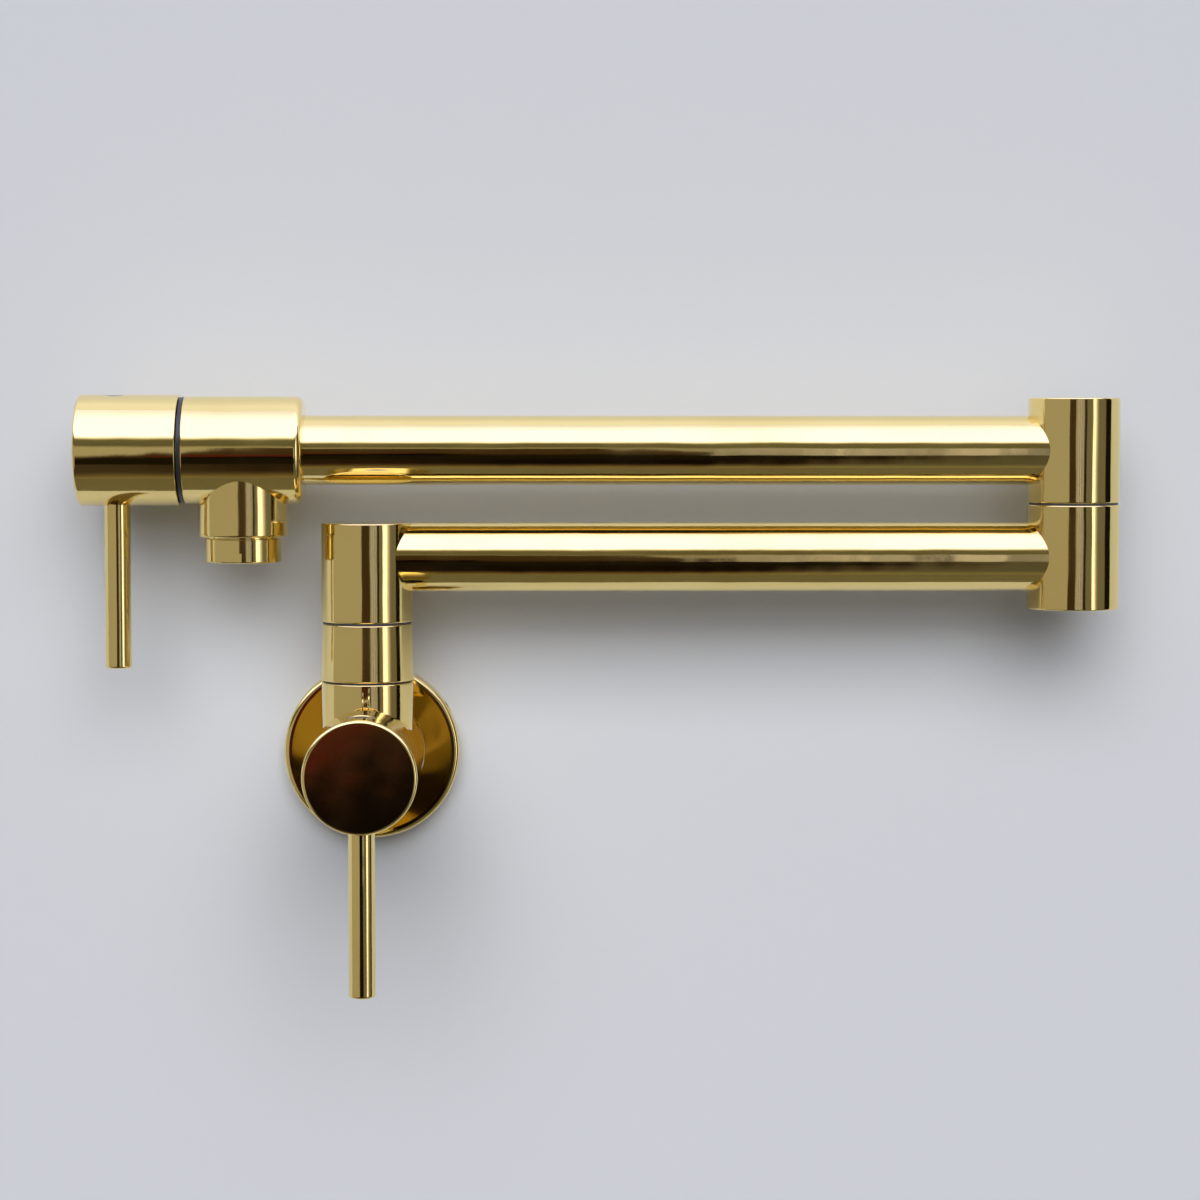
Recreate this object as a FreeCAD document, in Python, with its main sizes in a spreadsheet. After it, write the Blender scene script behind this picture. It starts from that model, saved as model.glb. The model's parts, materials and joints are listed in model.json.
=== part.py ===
import FreeCAD, Part
import math
import os
import re
import Sketcher

# Wall-mounted pot filler with a folding double-jointed arm and two quarter-turn valves.
# Frame: +X along the folded arms, +Y into the wall, +Z up, millimetres.
# Origin: on the inlet axis, in the plane of the finished wall.

doc = FreeCAD.newDocument("pot_filler")
sheet = doc.addObject("Spreadsheet::Sheet", "Sizes")

sizes = {
    # main layout
    "column_offset": 34.0,
    "lower_arm_length": 230.0,
    "outlet_overhang": 40.0,
    "boss_height": 25.6,
    "collar_height": 18.5,
    "gasket_thick": 0.5,
    "seam": 0.6,
    "column_knuckle_height": 32.1,
    "column_arm_rise": 20.9,
    "elbow_knuckle_height": 34.0,
    "elbow_arm_rise": 17.0,
    # arm tubes
    "tube_radius": 11.25,
    "tube_wall": 1.25,
    "braze_gap": 0.05,
    "tube_plug_depth": 8.0,
    # swivel joints
    "knuckle_radius": 14.85,
    "knuckle_edge": 0.5,
    "post_radius": 9.95,
    "running_gap": 0.05,
    "post_tail_radius": 8.95,
    "post_flange_radius": 12.0,
    "post_flange_thick": 2.7,
    "post_bore": 6.5,
    "post_window": 3.2,
    "relief_depth": 1.1,
    "relief_margin": 0.5,
    "groove_width": 2.0,
    "groove_depth": 1.75,
    "ring_section": 0.85,
    "column_tail_depth": 9.7,
    "elbow_tail_depth": 9.0,
    "elbow_floor": 6.5,
    "side_port": 4.5,
    "cap_radius": 12.55,
    "cap_thick": 1.5,
    "lift_gap": 0.3,
    "retainer_radius": 12.3,
    "retainer_thick": 0.8,
    "retainer_screw_radius": 1.95,
    "retainer_head_radius": 4.5,
    "retainer_head_thick": 0.8,
    "retainer_top_gap": 0.1,
    "screw_hole_share": 0.8,
    "screw_length_share": 0.9,
    "thrust_radius": 14.4,
    "thrust_play": 0.1,
    "collar_flare": 0.25,
    # valve bodies
    "barrel_radius": 17.5,
    "barrel_edge": 0.5,
    "barrel_back_gap": 1.5,
    "wall_port_inset": 17.0,
    "spout_port_inset": 18.5,
    "spout_shoulder": 2.5,
    "barrel_wall": 5.5,
    "chamber_depth": 28.0,
    "throat_length": 2.3,
    # outlet and aerator
    "outlet_radius": 14.5,
    "outlet_drop": 28.0,
    "outlet_edge": 0.9,
    "aerator_radius": 12.4,
    "aerator_height": 8.2,
    "aerator_seam": 0.5,
    "aerator_neck_radius": 11.5,
    "aerator_neck_length": 7.0,
    "aerator_bore": 9.6,
    "aerator_lip": 0.8,
    "aerator_lip_height": 3.0,
    "aerator_edge": 0.6,
    "flat_depth": 0.45,
    "flat_height": 3.2,
    "flat_angle": 13.0,
    "insert_height": 6.0,
    "jet_radius": 1.1,
    "jet_pitch": 3.2,
    "outlet_seal_thick": 1.5,
    "outlet_seal_bore": 8.0,
    # quarter-turn cartridges
    "cartridge_play": 0.1,
    "cartridge_wall": 2.4,
    "fixed_disc_thick": 3.0,
    "moving_disc_thick": 2.5,
    "disc_film": 0.05,
    "disc_rim": 0.6,
    "disc_web": 0.4,
    "seat_seal_thick": 1.2,
    "seat_seal_inset": 0.4,
    "seat_seal_width": 3.0,
    "cartridge_window": 4.0,
    "cartridge_roof": 18.0,
    "cartridge_roof_thick": 3.5,
    "neck_inset": 1.075,
    "nut_head_height": 3.2,
    "nut_clearance": 0.4,
    "stem_radius": 4.2,
    "stem_collar_radius": 6.4,
    "stem_collar_thick": 1.8,
    "stem_dog_radius": 3.2,
    "stem_dog_depth": 1.5,
    # handles
    "spacer_thick": 1.3,
    "spacer_inset": 0.3,
    "spacer_width": 3.6,
    "hub_gap": 0.3,
    "hub_overhang": 0.5,
    "hub_length": 32.5,
    "hub_face_edge": 1.4,
    "hub_back_edge": 0.4,
    "hub_cavity_depth": 6.0,
    "lever_inset": 12.0,
    "lever_radius": 4.2,
    "lever_tip": 70.6,
    "lever_tip_edge": 0.8,
    "lever_insertion": 4.5,
    "lever_stud_radius": 3.0,
    "lever_stud_end": 5.0,
    "stem_past_lever": 4.0,
    "hub_screw_radius": 4.3,
    "hub_screw_recess": 0.35,
    "hub_screw_step": 9.5,
    "hub_screw_point": 2.5,
    "hub_screw_socket": 2.4,
    "hub_screw_socket_depth": 3.0,
    # wall flange and inlet
    "flange_width": 11.7,
    "flange_depth": 10.0,
    "flange_edge": 2.4,
    "flange_dish": 1.7,
    "flange_plate": 3.0,
    "flange_rim": 5.0,
    "flange_sleeve": 3.4,
    "flange_sleeve_back": 2.5,
    "sliding_gap": 0.1,
    "flange_gasket_width": 2.0,
    "flange_gasket_thick": 1.5,
    "flange_gasket_inset": 2.0,
    "flange_screw_radius": 2.0,
    "flange_screw_height": 5.0,
    "flange_screw_access": 2.4,
    "flange_screw_socket": 1.1,
    "flange_screw_angle": 30.0,
    "inlet_thread_radius": 10.48,
    "inlet_thread_length": 18.0,
    "inlet_thread_edge": 1.0,
    "inlet_tail_radius": 10.35,
    "inlet_tail_length": 11.0,
    "inlet_relief": 1.0,
    "inlet_bore": 7.0,
    # cutting tools run past the faces they open by this much
    "overrun": 2.0,
}

for row, (name, number) in enumerate(sizes.items(), start=1):
    sheet.set(f"A{row}", name)
    sheet.set(f"B{row}", str(number))
    sheet.setAlias(f"B{row}", name)
doc.recompute()

# Places and sizes that follow from the driving dimensions
derived = {
    "barrel_front": "column_offset + wall_port_inset",
    "wall_seat": "barrel_front - chamber_depth",
    "collar_base": "boss_height + gasket_thick",
    "collar_top": "collar_base + collar_height",
    "column_base": "collar_top + seam",
    "lower_arm_height": "column_base + column_arm_rise",
    "elbow_base": "lower_arm_height - elbow_knuckle_height / 2",
    "elbow_seat": "elbow_base + elbow_knuckle_height",
    "elbow_upper_base": "elbow_seat + seam",
    "upper_arm_height": "elbow_upper_base + elbow_arm_rise",
    "upper_arm_length": "lower_arm_length + outlet_overhang",
    "outlet_place": "lower_arm_length - upper_arm_length",
    "spout_back_length": "chamber_depth - spout_port_inset + tube_plug_depth + throat_length",
    "spout_right": "outlet_place + spout_back_length",
    "spout_length": "spout_back_length + spout_port_inset",
    "spout_seat": "outlet_place - spout_port_inset + chamber_depth",
    "knuckle_bore": "post_radius + running_gap",
    "tail_bore": "post_tail_radius + sliding_gap",
    "flange_bore": "post_flange_radius + sliding_gap",
    "cap_bore": "cap_radius + running_gap",
    "shoulder_drop": "cap_thick + retainer_top_gap + retainer_head_thick + retainer_thick + lift_gap",
    "post_top_drop": "cap_thick + retainer_top_gap + retainer_head_thick + retainer_thick",
    "chamber_radius": "barrel_radius - barrel_wall",
    "disc_radius": "chamber_radius - 2 * cartridge_play - cartridge_wall",
    "disc_port": "(disc_radius - disc_rim - stem_dog_radius - disc_web) / 2",
    "seat_seal_outer": "disc_radius - seat_seal_inset",
    "throat_radius": "seat_seal_outer - seat_seal_width",
    "cartridge_neck": "(stem_radius + running_gap + chamber_radius - cartridge_play) / 2 - neck_inset",
    "roof_top": "cartridge_roof + cartridge_roof_thick",
    "disc_bottom": "seat_seal_thick",
    "film_height": "disc_bottom + fixed_disc_thick",
    "moving_bottom": "film_height + disc_film",
    "moving_top": "moving_bottom + moving_disc_thick",
    "stem_bottom": "moving_top - stem_dog_depth + disc_film",
    "spacer_radius": "barrel_radius - spacer_inset",
    "spacer_bore": "spacer_radius - spacer_width",
    "nut_head_radius": "spacer_bore - nut_clearance",
    "hub_radius": "barrel_radius + hub_overhang",
    "hub_cavity_radius": "spacer_bore + nut_clearance",
    "hub_screw_top": "hub_radius - hub_screw_recess",
    "lever_socket": "hub_radius - lever_insertion",
    "hub_back": "chamber_depth + spacer_thick + hub_gap",
    "hub_front": "hub_back + hub_length",
    "lever_place": "hub_front - lever_inset",
    "stem_top": "lever_place + stem_past_lever",
    "hub_bore": "stem_radius + running_gap",
    "neck_total": "aerator_neck_length + aerator_height",
    "outlet_bore_depth": "aerator_neck_length + outlet_seal_thick",
    "insert_bottom": "neck_total - aerator_lip_height",
    "inlet_total": "inlet_tail_length + barrel_back_gap + inlet_thread_length",
    "flange_radius": "barrel_radius + flange_width",
}


def ex(text):
    """Write out a formula over size names as an expression on the sheet."""
    def swap(found):
        word = found.group()
        return f"({ex(derived[word])})" if word in derived else f"Sizes.{word}"
    return re.sub(r"[a-z][a-z_]*", swap, text)


def turn_to(along):
    """Rotation that carries the local Z axis to a direction."""
    return FreeCAD.Rotation(FreeCAD.Vector(0, 0, 1), FreeCAD.Vector(*along))


def place(item, at, rotation):
    """Put an object at three formulas, turned by a fixed rotation."""
    item.Placement = FreeCAD.Placement(FreeCAD.Vector(), rotation)
    for letter, text in zip("xyz", at):
        if text != "0":
            item.setExpression(f"Placement.Base.{letter}", ex(text))
    return item


def turned(name, points, rounds=()):
    """Revolve a closed (radius, height) profile about local Z, then round its outer rims."""
    body = doc.addObject("PartDesign::Body", name)
    sketch = body.newObject("Sketcher::SketchObject", f"{name}_profile")
    plane = [item for item in body.Origin.OriginFeatures if item.Role == "XZ_Plane"][0]
    sketch.AttachmentSupport = [(plane, "")]
    sketch.MapMode = "FlatFace"
    count = len(points)
    # any spread of points will do: the constraints below carry each one to its place
    starts = [FreeCAD.Vector(index, index * index, 0) for index in range(count)]
    for index in range(count):
        sketch.addGeometry(Part.LineSegment(starts[index], starts[(index + 1) % count]), False)
    for index in range(count):
        sketch.addConstraint(Sketcher.Constraint("Coincident", index, 2, (index + 1) % count, 1))
    for index, pair in enumerate(points):
        for kind, text, axis in zip(("DistanceX", "DistanceY"), pair, (-2, -1)):
            if text == "0":
                sketch.addConstraint(Sketcher.Constraint("PointOnObject", index, 1, axis))
            else:
                number = sketch.addConstraint(Sketcher.Constraint(kind, -1, 1, index, 1, 1))
                sketch.setExpression(f"Constraints[{number}]", ex(text))
    turn = body.newObject("PartDesign::Revolution", f"{name}_turn")
    turn.Profile = sketch
    turn.ReferenceAxis = (sketch, ["V_Axis"])
    turn.Angle = 360
    doc.recompute()
    for end, text in rounds:
        base = body.Tip
        rim = outer_rim(base.Shape, end)
        fillet = body.newObject("PartDesign::Fillet", f"{name}_{end}_round")
        fillet.Base = (base, [rim])
        fillet.setExpression("Radius", ex(text))
        doc.recompute()
    return body


def outer_rim(shape, end):
    """Name of the widest circular edge at the top or bottom end of a turned shape."""
    rims = []
    for number, edge in enumerate(shape.Edges, start=1):
        if isinstance(edge.Curve, Part.Circle):
            height = edge.Curve.Center.z if end == "top" else -edge.Curve.Center.z
            rims.append((round(height, 6), edge.Curve.Radius, f"Edge{number}"))
    return max(rims)[2]


def rod(name, radius, length, at, along):
    """A cylinder from a point along a direction."""
    item = doc.addObject("Part::Cylinder", name)
    item.setExpression("Radius", ex(radius))
    item.setExpression("Height", ex(length))
    return place(item, at, turn_to(along))


def hexagon(name, radius, length, at, along):
    """A hexagonal prism from a point along a direction."""
    item = doc.addObject("Part::Prism", name)
    item.Polygon = 6
    item.setExpression("Circumradius", ex(radius))
    item.setExpression("Height", ex(length))
    return place(item, at, turn_to(along))


def fuse(name, items):
    """Join shapes into one."""
    whole = doc.addObject("Part::MultiFuse", name)
    whole.Shapes = items
    return whole


def cut(name, base, tools):
    """Take one or more tools out of a base shape."""
    item = doc.addObject("Part::Cut", name)
    item.Base = base
    item.Tool = tools[0] if len(tools) == 1 else fuse(f"{name}_tools", tools)
    return item


def group(name, items):
    """Keep several separate solids together as one sub-part."""
    item = doc.addObject("Part::Compound", name)
    item.Links = items
    return item


pieces = []
upright = FreeCAD.Rotation()
towards_wall = turn_to((0, 1, 0))
downward = turn_to((0, 0, -1))
# local Y stays up on both valves: one faces the room, the other the end of the spout
wall_turn = FreeCAD.Rotation(
    FreeCAD.Vector(1, 0, 0), FreeCAD.Vector(0, 0, 1), FreeCAD.Vector(0, -1, 0), "ZYX")
spout_turn = FreeCAD.Rotation(
    FreeCAD.Vector(0, -1, 0), FreeCAD.Vector(0, 0, 1), FreeCAD.Vector(-1, 0, 0), "ZYX")


def keep(item, label, at, rotation):
    """Place a finished sub-part and list it under the name of its file."""
    item.Label = label
    place(item, at, rotation)
    pieces.append(item)


def inlet():
    """Shank with the supply thread, and the flange that covers the hole in the wall."""
    shank = turned("shank_turned", [
        ("inlet_bore", "0"),
        ("inlet_tail_radius", "0"),
        ("inlet_tail_radius", "inlet_tail_length"),
        ("inlet_tail_radius - inlet_relief", "inlet_tail_length"),
        ("inlet_tail_radius - inlet_relief", "inlet_tail_length + barrel_back_gap"),
        ("inlet_thread_radius", "inlet_tail_length + barrel_back_gap"),
        ("inlet_thread_radius", "inlet_total - inlet_thread_edge"),
        ("inlet_thread_radius - inlet_thread_edge", "inlet_total"),
        ("inlet_bore", "inlet_total")])
    keep(shank, "inlet_shank", ("0", "0 - inlet_tail_length - barrel_back_gap", "0"), towards_wall)

    bore = "barrel_radius + sliding_gap"
    sleeve = f"{bore} + flange_sleeve"
    inside = "flange_radius - flange_rim"
    groove = "flange_radius - flange_gasket_inset"
    plate = "flange_depth - flange_plate"
    flange = turned("flange_turned", [
        (inside, "0"),
        (f"{groove} - flange_gasket_width", "0"),
        (f"{groove} - flange_gasket_width", "flange_gasket_thick"),
        (groove, "flange_gasket_thick"),
        (groove, "0"),
        ("flange_radius", "0"),
        ("flange_radius", "flange_depth"),
        (bore, "flange_depth - flange_dish"),
        (bore, "flange_sleeve_back"),
        (sleeve, "flange_sleeve_back"),
        (sleeve, plate),
        (inside, plate)], [("top", "flange_edge")])
    tilt = FreeCAD.Rotation(FreeCAD.Vector(0, 0, 1), sizes["flange_screw_angle"])
    across = tilt.multVec(FreeCAD.Vector(1, 0, 0))
    hole = rod("flange_screw_hole", "flange_screw_radius", sleeve, ("0", "0", "flange_screw_height"), across)
    access = rod("flange_screw_way", "flange_screw_access", "flange_radius + overrun",
                 ("0", "0", "flange_screw_height"), across)
    core = rod("flange_way_core", f"{sleeve} + sliding_gap", "flange_depth",
               ("0", "0", "0"), (0, 0, 1))
    way = cut("flange_way", access, [core])
    keep(cut("flange", flange, [hole, way]), "wall_flange", ("0", "0", "0"), wall_turn)

    gasket = turned("flange_gasket_turned", [
        (f"{groove} - flange_gasket_width + running_gap", "0"),
        (f"{groove} - running_gap", "0"),
        (f"{groove} - running_gap", "flange_gasket_thick"),
        (f"{groove} - flange_gasket_width + running_gap", "flange_gasket_thick")])
    keep(gasket, "flange_gasket", ("0", "0", "0"), wall_turn)

    screw = rod("flange_screw_rod", "flange_screw_radius - running_gap",
                "flange_sleeve - sliding_gap", ("0", "0", f"{bore} - running_gap"), (0, 0, 1))
    socket = hexagon("flange_screw_hex", "flange_screw_socket", "flange_sleeve",
                     ("0", "0", f"{bore} + flange_sleeve / 2"), (0, 0, 1))
    direction = wall_turn.multVec(across)
    keep(cut("flange_screw", screw, [socket]), "flange_grub_screw",
         ("0", "0 - flange_screw_height", "0"), turn_to(direction))


def wall_valve_body():
    """Cast body: barrel out of the wall, boss for the swivel, chamber and water ways."""
    barrel = turned("wall_barrel", [
        ("0", "barrel_back_gap"),
        ("barrel_radius", "barrel_back_gap"),
        ("barrel_radius", "barrel_front"),
        ("0", "barrel_front")], [("top", "barrel_edge")])
    boss = turned("wall_boss", [
        ("0", "0"),
        ("knuckle_radius", "0"),
        ("knuckle_radius", "boss_height"),
        ("0", "boss_height")], [("top", "knuckle_edge")])
    place(boss, ("0", "0", "column_offset"), turn_to((0, 1, 0)))
    thread = "inlet_tail_radius + running_gap"
    thread_end = "barrel_back_gap + inlet_tail_length + running_gap"
    along = turned("wall_water_way", [
        ("0", "0"),
        (thread, "0"),
        (thread, thread_end),
        ("throat_radius", thread_end),
        ("throat_radius", "wall_seat"),
        ("chamber_radius", "wall_seat"),
        ("chamber_radius", "barrel_front + overrun"),
        ("0", "barrel_front + overrun")])
    socket = "boss_height - column_tail_depth"
    upward = turned("wall_riser", [
        ("0", "0"),
        ("post_bore", "0"),
        ("post_bore", socket),
        ("tail_bore", socket),
        ("tail_bore", "boss_height + overrun"),
        ("0", "boss_height + overrun")])
    place(upward, ("0", "0", "column_offset"), turn_to((0, 1, 0)))
    solid = fuse("wall_casting", [barrel, boss])
    keep(cut("wall_body", solid, [along, upward]), "valve_body", ("0", "0", "0"), wall_turn)


def collar():
    """Fixed ring between the valve boss and the first swivel, clamped by the post."""
    ring = turned("collar_turned", [
        ("tail_bore", "0"),
        ("knuckle_radius + collar_flare", "0"),
        ("knuckle_radius - collar_flare", "collar_height"),
        ("flange_bore", "collar_height"),
        ("flange_bore", "collar_height - post_flange_thick"),
        ("tail_bore", "collar_height - post_flange_thick")],
        [("top", "knuckle_edge"), ("bottom", "knuckle_edge")])
    keep(ring, "swivel_collar", ("0", "0 - column_offset", "collar_base"), upright)
    gasket = turned("collar_gasket_turned", [
        ("tail_bore", "0"),
        ("thrust_radius", "0"),
        ("thrust_radius", "gasket_thick"),
        ("tail_bore", "gasket_thick")])
    keep(gasket, "collar_gasket", ("0", "0 - column_offset", "boss_height"), upright)


def swivel(name, across, seat, tail, height, rise):
    """Ported post, seals, thrust washer and retainer of one swivel joint."""
    base = f"{tail} + seam"
    top = f"{base} + {height} - post_top_drop"
    port_low = f"{base} + {rise} - side_port - relief_margin"
    port_high = f"{base} + {rise} + side_port + relief_margin"
    blind = f"{base} + {rise} + post_window + relief_margin"
    low_groove = f"({tail} + {port_low}) / 2"
    high_groove = f"({port_high} + {top}) / 2"
    floor = "post_radius - groove_depth"
    relief = "post_radius - relief_depth"
    thread = f"{top} - ({top} - ({blind})) * screw_hole_share"
    bore = "retainer_screw_radius + running_gap"

    def groove(middle):
        return [
            ("post_radius", f"{middle} - groove_width / 2"),
            (floor, f"{middle} - groove_width / 2"),
            (floor, f"{middle} + groove_width / 2"),
            ("post_radius", f"{middle} + groove_width / 2")]

    post = turned(f"{name}_post_turned", [
        ("post_bore", "0"),
        ("post_tail_radius", "0"),
        ("post_tail_radius", f"{tail} - post_flange_thick"),
        ("post_flange_radius", f"{tail} - post_flange_thick"),
        ("post_flange_radius", tail),
        ("post_radius", tail),
        *groove(low_groove),
        ("post_radius", port_low),
        (relief, port_low),
        (relief, port_high),
        ("post_radius", port_high),
        *groove(high_groove),
        ("post_radius", top),
        (bore, top),
        (bore, thread),
        ("0", thread),
        ("0", blind),
        ("post_bore", blind)])
    windows = []
    for letter, direction in (("x", (1, 0, 0)), ("y", (0, 1, 0))):
        at = {"x": ("0 - post_radius", "0"), "y": ("0", "0 - post_radius")}[letter]
        windows.append(rod(f"{name}_window_{letter}", "post_window", "2 * post_radius",
                           (*at, f"{base} + {rise}"), direction))
    foot = f"{seat} - ({tail})"
    keep(cut(f"{name}_post_cut", post, windows), f"{name}_swivel_post",
         (across, "0 - column_offset", foot), upright)

    rings = []
    for letter, middle in (("low", low_groove), ("high", high_groove)):
        ring = doc.addObject("Part::Torus", f"{name}_o_ring_{letter}")
        ring.setExpression("Radius1", ex("post_radius - ring_section"))
        ring.setExpression("Radius2", ex("ring_section"))
        rings.append(place(ring, ("0", "0", middle), upright))
    keep(group(f"{name}_rings", rings), f"{name}_o_rings", (across, "0 - column_offset", foot), upright)

    washer = turned(f"{name}_thrust_turned", [
        ("knuckle_bore + running_gap", "0"),
        ("thrust_radius", "0"),
        ("thrust_radius", "seam - thrust_play"),
        ("knuckle_bore + running_gap", "seam - thrust_play")])
    keep(washer, f"{name}_thrust_washer", (across, "0 - column_offset", seat), upright)

    retainer = turned(f"{name}_retainer_turned", [
        (bore, "0"),
        ("retainer_radius", "0"),
        ("retainer_radius", "retainer_thick"),
        (bore, "retainer_thick")])
    keep(retainer, f"{name}_retaining_washer", (across, "0 - column_offset", f"{foot} + {top}"), upright)

    shank = f"({top} - ({thread})) * screw_length_share"
    screw = turned(f"{name}_retaining_turned", [
        ("0", "0"),
        ("retainer_screw_radius", "0"),
        ("retainer_screw_radius", f"{shank} + retainer_thick"),
        ("retainer_head_radius", f"{shank} + retainer_thick"),
        ("retainer_head_radius", f"{shank} + retainer_thick + retainer_head_thick"),
        ("0", f"{shank} + retainer_thick + retainer_head_thick")])
    slot = hexagon(f"{name}_retaining_hex", "retainer_screw_radius", "retainer_head_thick + overrun",
                   ("0", "0", f"{shank} + retainer_thick + retainer_head_thick / 3"), (0, 0, 1))
    keep(cut(f"{name}_retaining", screw, [slot]), f"{name}_retaining_screw",
         (across, "0 - column_offset", f"{foot} + {top} - {shank}"), upright)


def knuckle(name, label, across, base, height, rise, side):
    """Turning housing of one swivel joint, with its side port and its press-in cap."""
    shell = turned(f"{name}_turned", [
        ("knuckle_bore", "0"),
        ("knuckle_radius", "0"),
        ("knuckle_radius", height),
        ("cap_bore", height),
        ("cap_bore", f"{height} - shoulder_drop"),
        ("knuckle_bore", f"{height} - shoulder_drop")],
        [("top", "knuckle_edge"), ("bottom", "knuckle_edge")])
    port = rod(f"{name}_port", "side_port", "knuckle_radius + overrun", ("0", "0", rise), (side, 0, 0))
    keep(cut(f"{name}_cut", shell, [port]), label, (across, "0 - column_offset", base), upright)
    cap = turned(f"{name}_cap_turned", [
        ("0", "0"),
        ("cap_radius", "0"),
        ("cap_radius", "cap_thick"),
        ("0", "cap_thick")])
    keep(cap, f"{name}_cap", (across, "0 - column_offset", f"{base} + {height} - cap_thick"), upright)


def lower_arm():
    """First arm: tube coped onto the column knuckle and the lower elbow knuckle."""
    knuckle("column", "column_knuckle", "0", "column_base", "column_knuckle_height", "column_arm_rise", 1)
    tube = tube_blank("lower_tube", "lower_arm_length")
    ends = [saddle("lower_left_saddle", "0"), saddle("lower_right_saddle", "lower_arm_length")]
    keep(cut("lower_tube_cut", tube, ends), "lower_arm_tube",
         ("0", "0 - column_offset", "lower_arm_height"), upright)

    shell = turned("elbow_lower_turned", [
        ("0", "0"),
        ("knuckle_radius", "0"),
        ("knuckle_radius", "elbow_knuckle_height"),
        ("flange_bore", "elbow_knuckle_height"),
        ("flange_bore", "elbow_knuckle_height - post_flange_thick"),
        ("tail_bore", "elbow_knuckle_height - post_flange_thick"),
        ("tail_bore", "elbow_floor"),
        ("0", "elbow_floor")],
        [("top", "knuckle_edge"), ("bottom", "knuckle_edge")])
    port = rod("elbow_lower_port", "side_port", "knuckle_radius + overrun",
               ("0", "0", "elbow_knuckle_height / 2"), (-1, 0, 0))
    keep(cut("elbow_lower_cut", shell, [port]), "elbow_lower_knuckle",
         ("lower_arm_length", "0 - column_offset", "elbow_base"), upright)


def tube_blank(name, length):
    """Straight tube along X, still with square ends."""
    outside = rod(f"{name}_outside", "tube_radius", length, ("0", "0", "0"), (1, 0, 0))
    inside = rod(f"{name}_inside", "tube_radius - tube_wall", f"{length} + 2 * overrun",
                 ("0 - overrun", "0", "0"), (1, 0, 0))
    return cut(f"{name}_blank", outside, [inside])


def saddle(name, across):
    """Upright cutter that copes a tube end to a knuckle, less the brazing gap."""
    return rod(name, "knuckle_radius + braze_gap", "4 * tube_radius",
               (across, "0", "0 - 2 * tube_radius"), (0, 0, 1))


def upper_arm():
    """Second arm: tube from the upper elbow knuckle into the end of the spout body."""
    knuckle("elbow", "elbow_upper_knuckle", "lower_arm_length", "elbow_upper_base",
            "elbow_knuckle_height", "elbow_arm_rise", -1)
    end = "spout_right - tube_plug_depth"
    length = f"lower_arm_length - ({end})"
    tube = tube_blank("upper_tube", length)
    keep(cut("upper_tube_cut", tube, [saddle("upper_saddle", length)]), "upper_arm_tube",
         (end, "0 - column_offset", "upper_arm_height"), upright)


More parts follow.
